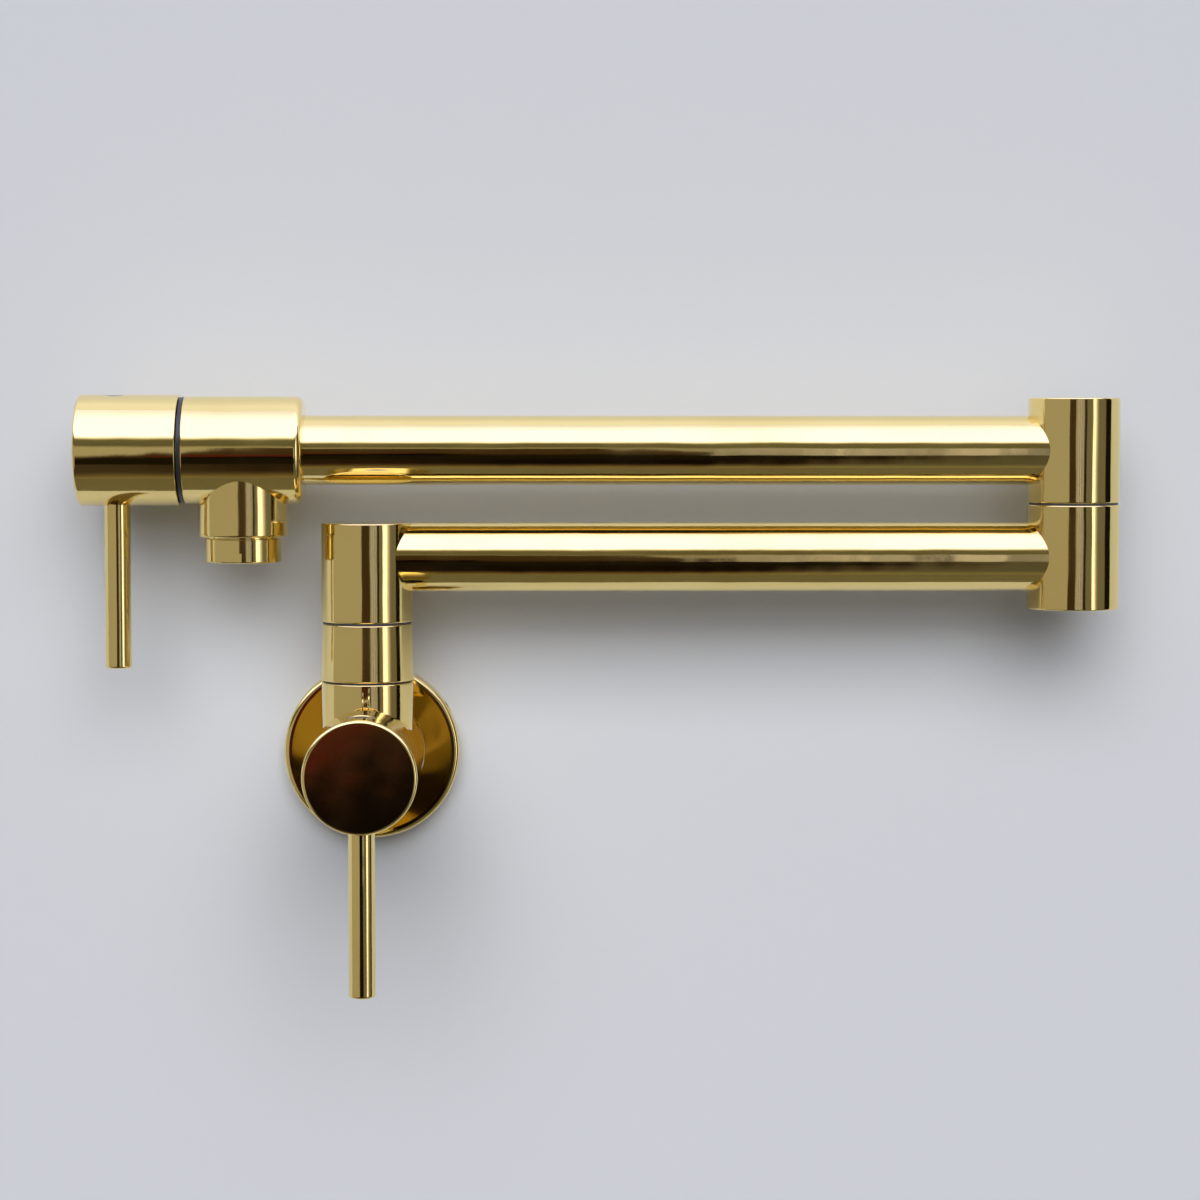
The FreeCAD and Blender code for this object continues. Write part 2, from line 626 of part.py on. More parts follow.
def spout():
    """Spout body with its shoulder, outlet boss, chamber and water ways, and the aerator."""
    barrel = turned("spout_barrel", [
        ("0", "0"),
        ("barrel_radius", "0"),
        ("barrel_radius", "spout_length"),
        ("0", "spout_length")],
        [("bottom", "spout_shoulder"), ("top", "barrel_edge")])
    boss = turned("spout_boss", [
        ("0", "0"),
        ("outlet_radius", "0"),
        ("outlet_radius", "outlet_drop"),
        ("0", "outlet_drop")], [("top", "outlet_edge")])
    place(boss, ("0", "0", "spout_back_length"), turn_to((0, -1, 0)))
    socket = "tube_radius + running_gap"
    plug = "tube_plug_depth + running_gap"
    seat = "spout_length - chamber_depth"
    inside = turned("spout_water_way", [
        ("0", "0"),
        (socket, "0"),
        (socket, plug),
        ("throat_radius", plug),
        ("throat_radius", seat),
        ("chamber_radius", seat),
        ("chamber_radius", "spout_length + overrun"),
        ("0", "spout_length + overrun")])
    thread = "aerator_neck_radius + running_gap"
    ledge = "outlet_drop - outlet_bore_depth"
    downpipe = turned("spout_downpipe", [
        ("0", "0"),
        ("post_bore", "0"),
        ("post_bore", ledge),
        (thread, ledge),
        (thread, "outlet_drop + overrun"),
        ("0", "outlet_drop + overrun")])
    place(downpipe, ("0", "0", "spout_back_length"), turn_to((0, -1, 0)))
    solid = fuse("spout_casting", [barrel, boss])
    keep(cut("spout_cut", solid, [inside, downpipe]), "spout_body",
         ("spout_right", "0 - column_offset", "upper_arm_height"), spout_turn)

    # the aerator hangs from the boss: local Z runs down from the top of its neck
    start = "upper_arm_height - outlet_drop + aerator_neck_length"
    mouth = "aerator_bore - aerator_lip"
    shell = turned("aerator_turned", [
        ("aerator_bore", "0"),
        ("aerator_neck_radius", "0"),
        ("aerator_neck_radius", "aerator_neck_length + aerator_seam"),
        ("aerator_radius", "aerator_neck_length + aerator_seam"),
        ("aerator_radius", "neck_total"),
        (mouth, "neck_total"),
        (mouth, "insert_bottom"),
        ("aerator_bore", "insert_bottom")], [("top", "aerator_edge")])
    flats = []
    for letter, side in (("front", 1), ("rear", -1)):
        flat = doc.addObject("Part::Box", f"aerator_flat_{letter}")
        flat.setExpression("Length", ex("2 * aerator_radius"))
        flat.setExpression("Width", ex("aerator_radius"))
        flat.setExpression("Height", ex("flat_height + overrun"))
        edge = "aerator_radius - flat_depth" if side > 0 else "flat_depth - 2 * aerator_radius"
        flats.append(place(flat, ("0 - aerator_radius", edge, "neck_total - flat_height"), upright))
    aerator_turn = downward.multiply(FreeCAD.Rotation(FreeCAD.Vector(0, 0, 1), sizes["flat_angle"]))
    keep(cut("aerator_cut", shell, flats), "aerator_housing",
         ("outlet_place", "0 - column_offset", start), aerator_turn)

    disc = turned("aerator_disc", [
        ("0", "0"),
        ("aerator_bore - sliding_gap", "0"),
        ("aerator_bore - sliding_gap", "insert_height"),
        ("0", "insert_height")])
    through = "insert_height + 2 * overrun"
    jets = [rod("jet_centre", "jet_radius", through, ("0", "0", "0 - overrun"), (0, 0, 1))]
    for ring, count in ((1, 6), (2, 12)):
        for number in range(count):
            angle = 2 * math.pi * number / count
            at = (f"{ring * math.cos(angle):.6f} * jet_pitch",
                  f"{ring * math.sin(angle):.6f} * jet_pitch", "0 - overrun")
            jets.append(rod(f"jet_{ring}_{number}", "jet_radius", through, at, (0, 0, 1)))
    keep(cut("aerator_grid", disc, jets), "aerator_insert",
         ("outlet_place", "0 - column_offset", f"{start} - insert_bottom + insert_height"), downward)

    seal = turned("aerator_seal_turned", [
        ("outlet_seal_bore", "0"),
        ("aerator_neck_radius", "0"),
        ("aerator_neck_radius", "outlet_seal_thick"),
        ("outlet_seal_bore", "outlet_seal_thick")])
    keep(seal, "aerator_washer", ("outlet_place", "0 - column_offset", start), upright)


def valve(name, at, rotation, inset):
    """Quarter-turn cartridge with ceramic discs, its spacer, and the handle that turns it."""
    ring = turned(f"{name}_seat_seal_turned", [
        ("throat_radius", "0"),
        ("seat_seal_outer", "0"),
        ("seat_seal_outer", "seat_seal_thick"),
        ("throat_radius", "seat_seal_thick")])
    keep(ring, f"{name}_seat_seal", at, rotation)

    # the ports of the turning disc stand a quarter turn from those of the fixed one: shut
    for label, low, thick, direction in (
            ("fixed_disc", "disc_bottom", "fixed_disc_thick", "y"),
            ("turning_disc", "moving_bottom", "moving_disc_thick", "x")):
        profile = [
            ("0", low),
            ("disc_radius", low),
            ("disc_radius", f"{low} + {thick}"),
            ("0", f"{low} + {thick}")]
        if label == "turning_disc":
            socket = "stem_dog_radius + running_gap"
            profile[3:] = [
                (socket, f"{low} + {thick}"),
                (socket, f"{low} + {thick} - stem_dog_depth"),
                ("0", f"{low} + {thick} - stem_dog_depth")]
        disc = turned(f"{name}_{label}_turned", profile)
        ports = []
        for side, sign in (("near", ""), ("far", "0 - ")):
            centre = f"{sign}(stem_dog_radius + disc_web + disc_port)"
            spot = (centre, "0") if direction == "x" else ("0", centre)
            ports.append(rod(f"{name}_{label}_{side}", "disc_port", f"{thick} + 2 * overrun",
                             (*spot, f"{low} - overrun"), (0, 0, 1)))
        keep(cut(f"{name}_{label}_cut", disc, ports), f"{name}_{label}", at, rotation)

    inside = "disc_radius + cartridge_play"
    outside = "chamber_radius - cartridge_play"
    stem_bore = "stem_radius + running_gap"
    cage = turned(f"{name}_cartridge_turned", [
        (inside, "0"),
        (outside, "0"),
        (outside, "roof_top"),
        ("cartridge_neck", "roof_top"),
        ("cartridge_neck", "chamber_depth"),
        (stem_bore, "chamber_depth"),
        (stem_bore, "cartridge_roof"),
        (inside, "cartridge_roof")])
    window = rod(f"{name}_cartridge_window", "cartridge_window", "2 * chamber_radius",
                 ("0", "0 - chamber_radius", f"chamber_depth - {inset}"), (0, 1, 0))
    keep(cut(f"{name}_cartridge_cut", cage, [window]), f"{name}_cartridge", at, rotation)

    sleeve = rod(f"{name}_nut_sleeve", outside, "chamber_depth - roof_top",
                 ("0", "0", "roof_top"), (0, 0, 1))
    head = hexagon(f"{name}_nut_head", "nut_head_radius", "nut_head_height",
                   ("0", "0", "chamber_depth"), (0, 0, 1))
    hole = rod(f"{name}_nut_hole", "cartridge_neck + sliding_gap", "chamber_depth",
               ("0", "0", "roof_top - overrun"), (0, 0, 1))
    keep(cut(f"{name}_nut", fuse(f"{name}_nut_blank", [sleeve, head]), [hole]),
         f"{name}_bonnet_nut", at, rotation)

    spacer = turned(f"{name}_spacer_turned", [
        ("spacer_bore", "chamber_depth"),
        ("spacer_radius", "chamber_depth"),
        ("spacer_radius", "chamber_depth + spacer_thick"),
        ("spacer_bore", "chamber_depth + spacer_thick")])
    keep(spacer, f"{name}_spacer_ring", at, rotation)

    stem = turned(f"{name}_stem_turned", [
        ("0", "stem_bottom"),
        ("stem_dog_radius", "stem_bottom"),
        ("stem_dog_radius", "moving_top + disc_film"),
        ("stem_collar_radius", "moving_top + disc_film"),
        ("stem_collar_radius", "moving_top + disc_film + stem_collar_thick"),
        ("stem_radius", "moving_top + disc_film + stem_collar_thick"),
        ("stem_radius", "stem_top"),
        ("0", "stem_top")])
    keep(stem, f"{name}_stem", at, rotation)
    handle(name, at, rotation)


def handle(name, at, rotation):
    """Hub over the cartridge nut, rod lever hanging down, and the screw that grips the stem."""
    hub = turned(f"{name}_hub_turned", [
        ("hub_cavity_radius", "hub_back"),
        ("hub_radius", "hub_back"),
        ("hub_radius", "hub_front"),
        ("0", "hub_front"),
        ("0", "stem_top + running_gap"),
        ("hub_bore", "stem_top + running_gap"),
        ("hub_bore", "hub_back + hub_cavity_depth"),
        ("hub_cavity_radius", "hub_back + hub_cavity_depth")],
        [("top", "hub_face_edge"), ("bottom", "hub_back_edge")])
    screw_way = rod(f"{name}_screw_way", "hub_screw_radius + running_gap", "hub_radius",
                    ("0", "hub_screw_step", "lever_place"), (0, 1, 0))
    point_way = rod(f"{name}_point_way", "hub_screw_point + running_gap", "hub_radius",
                    ("0", "0", "lever_place"), (0, 1, 0))
    stud_way = rod(f"{name}_stud_way", "lever_stud_radius + running_gap", "hub_radius",
                   ("0", "0", "lever_place"), (0, -1, 0))
    lever_way = rod(f"{name}_lever_way", "lever_radius + running_gap", "hub_radius",
                    ("0", "0 - lever_socket", "lever_place"), (0, -1, 0))
    keep(cut(f"{name}_hub_cut", hub, [screw_way, point_way, stud_way, lever_way]),
         f"{name}_hub", at, rotation)

    lever = turned(f"{name}_lever_turned", [
        ("0", "lever_stud_end"),
        ("lever_stud_radius", "lever_stud_end"),
        ("lever_stud_radius", "lever_socket"),
        ("lever_radius", "lever_socket"),
        ("lever_radius", "lever_tip"),
        ("0", "lever_tip")], [("top", "lever_tip_edge")])
    sideways(lever, f"{name}_lever", at, rotation, (0, -1, 0))

    grip = turned(f"{name}_screw_turned", [
        ("0", "hub_bore"),
        ("hub_screw_point", "hub_bore"),
        ("hub_screw_point", "hub_screw_step"),
        ("hub_screw_radius", "hub_screw_step"),
        ("hub_screw_radius", "hub_screw_top"),
        ("0", "hub_screw_top")])
    socket = hexagon(f"{name}_screw_hex", "hub_screw_socket", "hub_screw_socket_depth + overrun",
                     ("0", "0", "hub_screw_top - hub_screw_socket_depth"), (0, 0, 1))
    sideways(cut(f"{name}_screw_cut", grip, [socket]), f"{name}_hub_screw", at, rotation, (0, 1, 0))


def sideways(item, label, at, rotation, direction):
    """Place a piece that stands across a valve axis, at the lever's distance along it."""
    axis = rotation.multVec(FreeCAD.Vector(0, 0, 1))
    spot = []
    for text, part in zip(at, (axis.x, axis.y, axis.z)):
        step = {1: " + lever_place", -1: " - lever_place", 0: ""}[round(part)]
        spot.append(text + step)
    keep(item, label, spot, rotation.multiply(turn_to(direction)))


inlet()
wall_valve_body()
collar()
swivel("column", "0", "collar_top", "(column_tail_depth + gasket_thick + collar_height)",
       "column_knuckle_height", "column_arm_rise")
lower_arm()
swivel("elbow", "lower_arm_length", "elbow_seat", "elbow_tail_depth",
       "elbow_knuckle_height", "elbow_arm_rise")
upper_arm()
spout()
valve("wall", ("0", "0 - wall_seat", "0"), wall_turn, "wall_port_inset")
valve("spout", ("spout_seat", "0 - column_offset", "upper_arm_height"), spout_turn, "spout_port_inset")
doc.recompute()

for item in doc.Objects:
    if "Invalid" in item.State or "Error" in item.State:
        raise RuntimeError(f"{item.Label} failed: {item.State}")
for item in pieces:
    if item.Shape.isNull() or not item.Shape.isValid() or not item.Shape.Solids:
        raise RuntimeError(f"{item.Label} has no valid solid")

os.makedirs("parts", exist_ok=True)
for item in pieces:
    item.Shape.exportStep(f"parts/{item.Label}.step")
print(f"{len(pieces)} sub-parts written")
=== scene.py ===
import json
import math

import bpy
import numpy as np
from mathutils import Matrix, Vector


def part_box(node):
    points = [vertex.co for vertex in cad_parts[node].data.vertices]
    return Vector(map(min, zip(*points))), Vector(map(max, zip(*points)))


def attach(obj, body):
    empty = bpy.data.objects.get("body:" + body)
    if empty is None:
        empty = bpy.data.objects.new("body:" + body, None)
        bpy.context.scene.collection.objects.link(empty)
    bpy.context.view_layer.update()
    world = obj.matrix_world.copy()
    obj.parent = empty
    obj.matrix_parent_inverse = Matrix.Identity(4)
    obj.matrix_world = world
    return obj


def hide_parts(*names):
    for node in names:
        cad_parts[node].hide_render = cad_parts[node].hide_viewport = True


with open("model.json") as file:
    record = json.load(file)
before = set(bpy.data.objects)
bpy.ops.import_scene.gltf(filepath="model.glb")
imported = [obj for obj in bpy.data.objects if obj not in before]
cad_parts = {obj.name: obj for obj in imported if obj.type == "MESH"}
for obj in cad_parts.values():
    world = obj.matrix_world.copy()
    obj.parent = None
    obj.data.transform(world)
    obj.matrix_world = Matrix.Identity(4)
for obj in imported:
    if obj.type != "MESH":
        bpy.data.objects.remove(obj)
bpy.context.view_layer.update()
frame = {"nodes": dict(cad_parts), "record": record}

scene = bpy.context.scene
scene.view_settings.view_transform = "Standard"
mm = 0.001
print("frame loaded:", len(frame["nodes"]), "nodes")


# camera at the photograph's angle, worked out for a square picture
cameraView = {
    "place": (0.0526, -1.0111, 0.1118),
    "yaw": 1.35,         # degrees towards +X
    "pitch": -3.50,      # degrees up
    "roll": 0.02,
    "focal": 3009.0,     # pixels
    "picture": 1200.0,   # pixels across
    "film": 36.0,        # millimetres across
    "near": 0.01,        # metres from which things are seen
}


def setCamera(view):
    # right, up and back vectors of the camera are the columns of its turn
    yaw, pitch, roll = (math.radians(view[k]) for k in ("yaw", "pitch", "roll"))
    right = np.array([math.cos(yaw), -math.sin(yaw), 0.0])
    level = np.array([math.sin(yaw), math.cos(yaw), 0.0])
    upright = np.array([0.0, 0.0, 1.0])
    ahead = math.cos(pitch) * level + math.sin(pitch) * upright
    above = math.cos(pitch) * upright - math.sin(pitch) * level
    across = math.cos(roll) * right + math.sin(roll) * above
    above = math.cos(roll) * above - math.sin(roll) * right
    lens = bpy.data.cameras.new("photoLens")
    lens.sensor_fit = "HORIZONTAL"
    lens.sensor_width = view["film"]
    lens.lens = view["film"] * view["focal"] / view["picture"]
    lens.clip_start = view["near"]
    camera = bpy.data.objects.new("photoCamera", lens)
    turn = np.eye(4)
    turn[:3, 0] = across
    turn[:3, 1] = above
    turn[:3, 2] = -ahead
    turn[:3, 3] = view["place"]
    camera.matrix_world = Matrix(turn.tolist())
    scene.collection.objects.link(camera)
    scene.camera = camera


setCamera(cameraView)


# shader maths: a Wire is an output socket that can be added, multiplied and so on
class Wire:
    def __init__(self, sheet, socket):
        self.sheet = sheet
        self.socket = socket

    def math(self, operation, first, second):
        return self.sheet.add("ShaderNodeMath", {"operation": operation}, {0: first, 1: second})

    def __add__(self, other):
        return self.math("ADD", self, other)

    def __radd__(self, other):
        return self.math("ADD", other, self)

    def __sub__(self, other):
        return self.math("SUBTRACT", self, other)

    def __rsub__(self, other):
        return self.math("SUBTRACT", other, self)

    def __mul__(self, other):
        return self.math("MULTIPLY", self, other)

    def __rmul__(self, other):
        return self.math("MULTIPLY", other, self)

    def __truediv__(self, other):
        return self.math("DIVIDE", self, other)

    def __pow__(self, other):
        return self.math("POWER", self, other)


class Sheet:
    def __init__(self, tree):
        self.tree = tree

    def add(self, kind, settings=None, inputs=None, out=0):
        # one node: settings first, then values or links of its sockets
        node = self.tree.nodes.new(kind)
        for key, value in (settings or {}).items():
            setattr(node, key, value)
        for key, value in (inputs or {}).items():
            socket = node.inputs[key]
            if isinstance(value, Wire):
                self.tree.links.new(value.socket, socket)
            else:
                socket.default_value = value
        return Wire(self, node.outputs[out]) if node.outputs else None

    def noise(self, place, scale, detail=2.0, rough=0.5):
        return self.add("ShaderNodeTexNoise", None,
                        {"Vector": place, "Scale": scale, "Detail": detail, "Roughness": rough}, "Fac")

    def ripple(self, value):
        return self.add("ShaderNodeTexNoise", {"noise_dimensions": "1D"},
                        {"W": value, "Scale": 1.0, "Detail": 2.0}, "Fac")

    def spread(self, value, low, high, toLow=0.0, toHigh=1.0):
        # smooth step of a value from low..high to toLow..toHigh
        return self.add("ShaderNodeMapRange", {"interpolation_type": "SMOOTHSTEP"},
                        {"Value": value, "From Min": low, "From Max": high,
                         "To Min": toLow, "To Max": toHigh})

    def stretch(self, place, scale):
        return self.add("ShaderNodeMapping", None, {"Vector": place, "Scale": scale})

    def absolute(self, value):
        return self.add("ShaderNodeMath", {"operation": "ABSOLUTE"}, {0: value})

    def angle(self, up, along):
        # degrees of the direction that goes up and along
        return self.add("ShaderNodeMath", {"operation": "ARCTAN2"}, {0: up, 1: along}) * (180 / math.pi)

    def place(self, kind="Object"):
        return self.add("ShaderNodeTexCoord", None, None, kind)

    def parts(self, vector):
        split = self.add("ShaderNodeSeparateXYZ", None, {0: vector})
        return [Wire(self, output) for output in split.socket.node.outputs]

    def blend(self, factor, first, second):
        return self.add("ShaderNodeMix", {"data_type": "RGBA"},
                        {"Factor": factor, 6: first, 7: second}, 2)

    def bump(self, height, strength, distance):
        return self.add("ShaderNodeBump", None,
                        {"Height": height, "Strength": strength, "Distance": distance})


def newMaterial(name):
    material = bpy.data.materials.new(name)
    material.use_nodes = True
    material.node_tree.nodes.clear()
    return material, Sheet(material.node_tree)


def closeMaterial(sheet, shader):
    sheet.add("ShaderNodeOutputMaterial", None, {"Surface": shader})


brassLook = {
    "bright": (0.90, 0.715, 0.285, 1.0),
    "warm": (0.80, 0.585, 0.19, 1.0),
    "roughness": 0.05,
    "smudgeScale": 42.0,
    "smudgeDetail": (4.0, 0.55),   # octaves of the noise and how strong each next one is
    "smudge": (0.42, 0.70),        # noise values between which a handled patch begins
    "smudgeWarmth": 0.14,
    "smudgeRoughness": 0.04,
    "cloudScale": 14.0,
    "cloud": (0.40, 0.68),
    "cloudWarmth": 0.30,
    "markDetail": (3.0, 0.6),
    "markRoughness": 0.035,
    "waveScale": 55.0,
    "waveDepth": 0.0002,
    "peelScale": 650.0,
    "peelDepth": 0.000003,
    "lineDepth": 0.0000026,
    # painted reflection: darker, warmer tint laid on the flange face near the inlet axis, standing in for
    # the brass body reflected in the dished face
    "paintedReflection": (0.86, 0.67, 0.23, 1.0),
}


def polishedBrass(name, lines, within=0.0):
    # lines: stretch of the polishing marks along X, Y, Z; large across the marks, small along them
    # within: distance from the inlet axis up to which the brass is tinted darker and warmer, a painted
    # reflection of the brass body in the dished flange face
    b = brassLook
    material, sheet = newMaterial(name)
    place = sheet.place()
    handled = sheet.spread(sheet.noise(place, b["smudgeScale"], *b["smudgeDetail"]), *b["smudge"])
    cloud = sheet.spread(sheet.noise(place, b["cloudScale"]), *b["cloud"])
    marks = sheet.noise(sheet.stretch(place, lines), 1.0, *b["markDetail"])
    wave = sheet.noise(place, b["waveScale"], 1.0)
    peel = sheet.noise(place, b["peelScale"], 1.0)
    colour = sheet.blend(cloud * b["cloudWarmth"] + handled * b["smudgeWarmth"], b["bright"], b["warm"])
    # painted reflection of the brass body on the flange face, inside the given radius
    if within:
        x, y, z = sheet.parts(place)
        away = (x ** 2 + z ** 2) ** 0.5
        colour = sheet.add("ShaderNodeMix", {"data_type": "RGBA", "blend_type": "MULTIPLY"},
                           {"Factor": sheet.spread(away, within - mm, within, 1.0, 0.0), 6: colour,
                            7: b["paintedReflection"]}, 2)
    rough = b["roughness"] + handled * b["smudgeRoughness"] + marks * b["markRoughness"]
    relief = wave * b["waveDepth"] + peel * b["peelDepth"] + marks * b["lineDepth"]
    normal = sheet.bump(relief, 1.0, 1.0)
    shader = sheet.add("ShaderNodeBsdfPrincipled", None,
                       {"Base Color": colour, "Metallic": 1.0, "Roughness": rough, "Normal": normal})
    closeMaterial(sheet, shader)
    return material


turnedLook = {
    "dark": (0.60, 0.42, 0.19, 1.0),
    "light": (0.72, 0.55, 0.27, 1.0),
    "toneScale": 60.0,
    "toneDetail": (3.0, 0.55),
    "tone": (0.35, 0.7),
    "grainScale": 900.0,
    "roughness": 0.24,
    "grainRoughness": 0.16,
    "strength": 0.25,
    "depth": 0.00001,
}


def turnedBrass(name):
    t = turnedLook
    material, sheet = newMaterial(name)
    place = sheet.place()
    tone = sheet.spread(sheet.noise(place, t["toneScale"], *t["toneDetail"]), *t["tone"])
    grain = sheet.noise(place, t["grainScale"])
    shader = sheet.add("ShaderNodeBsdfPrincipled", None, {
        "Base Color": sheet.blend(tone, t["light"], t["dark"]), "Metallic": 1.0,
        "Roughness": t["roughness"] + grain * t["grainRoughness"],
        "Normal": sheet.bump(grain, t["strength"], t["depth"])})
    closeMaterial(sheet, shader)
    return material


# plain materials: two tones mixed by one noise, which also moves the roughness and the relief
rubberLook = {
    "tones": ((0.016, 0.016, 0.018, 1.0), (0.034, 0.033, 0.033, 1.0)),
    "metallic": 0.0, "scale": 350.0, "blur": 0.6, "roughness": (0.55, 0.25),
    "strength": 0.3, "depth": 0.00003,
}
steelLook = {
    "tones": ((0.46, 0.46, 0.47, 1.0), (0.30, 0.30, 0.31, 1.0)),
    "metallic": 1.0, "scale": 180.0, "blur": 0.6, "roughness": (0.26, 0.2),
    "strength": 0.2, "depth": 0.00002,
}
plasticLook = {"metallic": 0.0, "blur": 0.5, "strength": 0.12, "depth": 0.00002}
blackLook = {
    **plasticLook, "scale": 300.0, "roughness": (0.24, 0.14),
    "tones": ((0.012, 0.013, 0.017, 1.0), (0.026, 0.028, 0.036, 1.0)),
}
greyLook = {
    **plasticLook, "scale": 220.0, "roughness": (0.38, 0.14),
    "tones": ((0.40, 0.40, 0.39, 1.0), (0.52, 0.52, 0.50, 1.0)),
}
# near-black washer tones, darker than grey PTFE: painted shade of the thin swivel seam between the knuckles
seamShadeLook = {
    **plasticLook, "scale": 260.0, "roughness": (0.42, 0.14),
    "tones": ((0.035, 0.035, 0.04, 1.0), (0.06, 0.06, 0.065, 1.0)),
}
ceramicLook = {
    **plasticLook, "scale": 160.0, "roughness": (0.12, 0.14),
    "tones": ((0.78, 0.78, 0.76, 1.0), (0.84, 0.84, 0.82, 1.0)),
}


def mottled(name, look):
    material, sheet = newMaterial(name)
    tone = sheet.noise(sheet.place(), look["scale"], 3.0, look["blur"])
    least, more = look["roughness"]
    shader = sheet.add("ShaderNodeBsdfPrincipled", None, {
        "Base Color": sheet.blend(tone, *look["tones"]), "Metallic": look["metallic"],
        "Roughness": least + tone * more, "Normal": sheet.bump(tone, look["strength"], look["depth"])})
    closeMaterial(sheet, shader)
    return material


looks = {
    "brassAlongX": polishedBrass("brassAlongX", (14.0, 1500.0, 1500.0)),
    "brassAlongY": polishedBrass("brassAlongY", (60.0, 2400.0, 60.0)),
    # flange: painted reflection of the brass body out to 27.5 mm from the inlet axis
    "brassFlange": polishedBrass("brassFlange", (60.0, 2400.0, 60.0), 0.0275),
    "brassUpright": polishedBrass("brassUpright", (60.0, 60.0, 2400.0)),
    "brassSideways": polishedBrass("brassSideways", (2400.0, 60.0, 60.0)),
    "machined_brass": turnedBrass("turnedBrass"),
    "steel": mottled("plainSteel", steelLook),
    "black_rubber": mottled("softRubber", rubberLook),
    "black_acetal": mottled("blackAcetal", blackLook),
    "grey_acetal": mottled("greyAcetal", greyLook),
    # the washer's near-black tones are painted shade of the swivel seam
    "grey_ptfe": mottled("ptfeSeamShade", seamShadeLook),
    "white_ceramic": mottled("whiteCeramic", ceramicLook),
    "polished_brass": polishedBrass("brassPlain", (60.0, 60.0, 2400.0)),
}
print("materials made:", len(looks))


# local axes of turned pieces: rows are the local x, y and turning axis
upright = np.array([[1, 0, 0], [0, 1, 0], [0, 0, 1.0]])
hanging = np.array([[1, 0, 0], [0, -1, 0], [0, 0, -1.0]])
fromWall = np.array([[1, 0, 0], [0, 0, 1], [0, -1.0, 0]])
intoWall = np.array([[1, 0, 0], [0, 0, -1], [0, 1.0, 0]])
fromSpout = np.array([[0, -1, 0], [0, 0, 1], [-1.0, 0, 0]])
around = 192     # points round a turned piece
bend = 7         # points in a rounded corner
straight = 1e-6  # radians of turn below which a corner is none
weld = 2e-7      # metres within which points are one


def outline(profile, closed):
    # profile: corners (radius, height, rounding) with the metal on the left; each rounding is an arc
    # that touches both sides, and every point keeps its own outward direction
    at = np.array([c[:2] for c in profile], float) * mm
    rounding = [c[2] * mm for c in profile]
    points, normals = [], []
    count = len(profile)
    for i in range(count):
        before, after = at[i - 1], at[(i + 1) % count]
        if not closed and i == 0:
            before = None
        if not closed and i == count - 1:
            after = None
        d1 = None if before is None else (at[i] - before) / np.linalg.norm(at[i] - before)
        d2 = None if after is None else (after - at[i]) / np.linalg.norm(after - at[i])
        d1 = d2 if d1 is None else d1
        d2 = d1 if d2 is None else d2
        n1, n2 = np.array([d1[1], -d1[0]]), np.array([d2[1], -d2[0]])
        turn = math.atan2(d1[0] * d2[1] - d1[1] * d2[0], d1 @ d2)
        if abs(turn) < straight:
            points.append(at[i][None])
            normals.append(n1[None])
            continue
        share = np.linspace(0.0, 1.0, bend)[:, None]
        angle = math.atan2(n1[1], n1[0]) + share[:, 0] * turn
        arc = np.stack([np.cos(angle), np.sin(angle)], 1)
        if rounding[i] == 0.0:
            arc = np.stack([n1, n2])
        side = 1.0 if turn > 0 else -1.0
        reach = rounding[i] * math.tan(abs(turn) / 2)
        centre = at[i] - d1 * reach - side * n1 * rounding[i]
        points.append(centre + side * arc * rounding[i])
        normals.append(arc)
    points, normals = np.concatenate(points), np.concatenate(normals)
    if closed:
        points, normals = np.concatenate([points, points[:1]]), np.concatenate([normals, normals[:1]])
    return points, normals


def turnedPatch(profile, origin, axes, closed=False, count=around):
    # profile (r, h) carried round the axis: r cos a, r sin a, h
    points, normals = outline(profile, closed)
    angle = np.linspace(0.0, 2 * math.pi, count, endpoint=False)[None, :]

    def swing(pair):
        r, h = pair[:, :1], pair[:, 1:]
        return np.stack([r * np.cos(angle), r * np.sin(angle), h + 0 * angle], -1) @ axes
    return swing(points) + np.array(origin), swing(normals), True


def makePiece(name, patches, body, look, nodes):
    # weld the patches where they meet, drop collapsed faces and keep each corner's own direction
    points, normals, quads, start = [], [], [], 0
    for grid, directions, wrap in patches:
        rows, cols = grid.shape[:2]
        i = np.arange(rows - 1)[:, None] * cols
        j = np.arange(cols if wrap else cols - 1)[None, :]
        k = (j + 1) % cols
        quads.append(np.stack([i + j, i + k, i + cols + k, i + cols + j], -1).reshape(-1, 4) + start)
        points.append(grid.reshape(-1, 3))
        normals.append(directions.reshape(-1, 3))
        start += rows * cols
    points, normals, quads = (np.concatenate(p) for p in (points, normals, quads))
    keys = np.round(points / weld).astype(np.int64)
    _, first, place = np.unique(keys, axis=0, return_index=True, return_inverse=True)
    corner = place.reshape(-1)[quads]
    keep = corner != np.roll(corner, -1, axis=1)
    keep &= (keep.sum(1) >= 3)[:, None]
    size = keep.sum(1)
    size = size[size > 0]
    mesh = bpy.data.meshes.new(name)
    mesh.vertices.add(len(first))
    mesh.vertices.foreach_set("co", points[first].astype(np.float32).ravel())
    mesh.loops.add(int(size.sum()))
    mesh.loops.foreach_set("vertex_index", corner[keep].astype(np.int32))
    mesh.polygons.add(len(size))
    mesh.polygons.foreach_set("loop_start", (np.cumsum(size) - size).astype(np.int32))
    mesh.update(calc_edges=True)
    mesh.polygons.foreach_set("use_smooth", np.ones(len(size), bool))
    facing = normals[quads][keep]
    facing /= np.linalg.norm(facing, axis=1, keepdims=True)
    mesh.normals_split_custom_set(facing.tolist())
    mesh.materials.append(looks[look])
    piece = bpy.data.objects.new(name, mesh)
    scene.collection.objects.link(piece)
    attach(piece, body)
    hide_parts(*nodes)


def corners(node):
    low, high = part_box(node)
    return np.array(low), np.array(high)


def middle(node):
    low, high = corners(node)
    return (low + high) / 2


def foot(low, high):
    # middle of the bottom of a box
    return (low[0] + high[0]) / 2, (low[1] + high[1]) / 2, low[2]


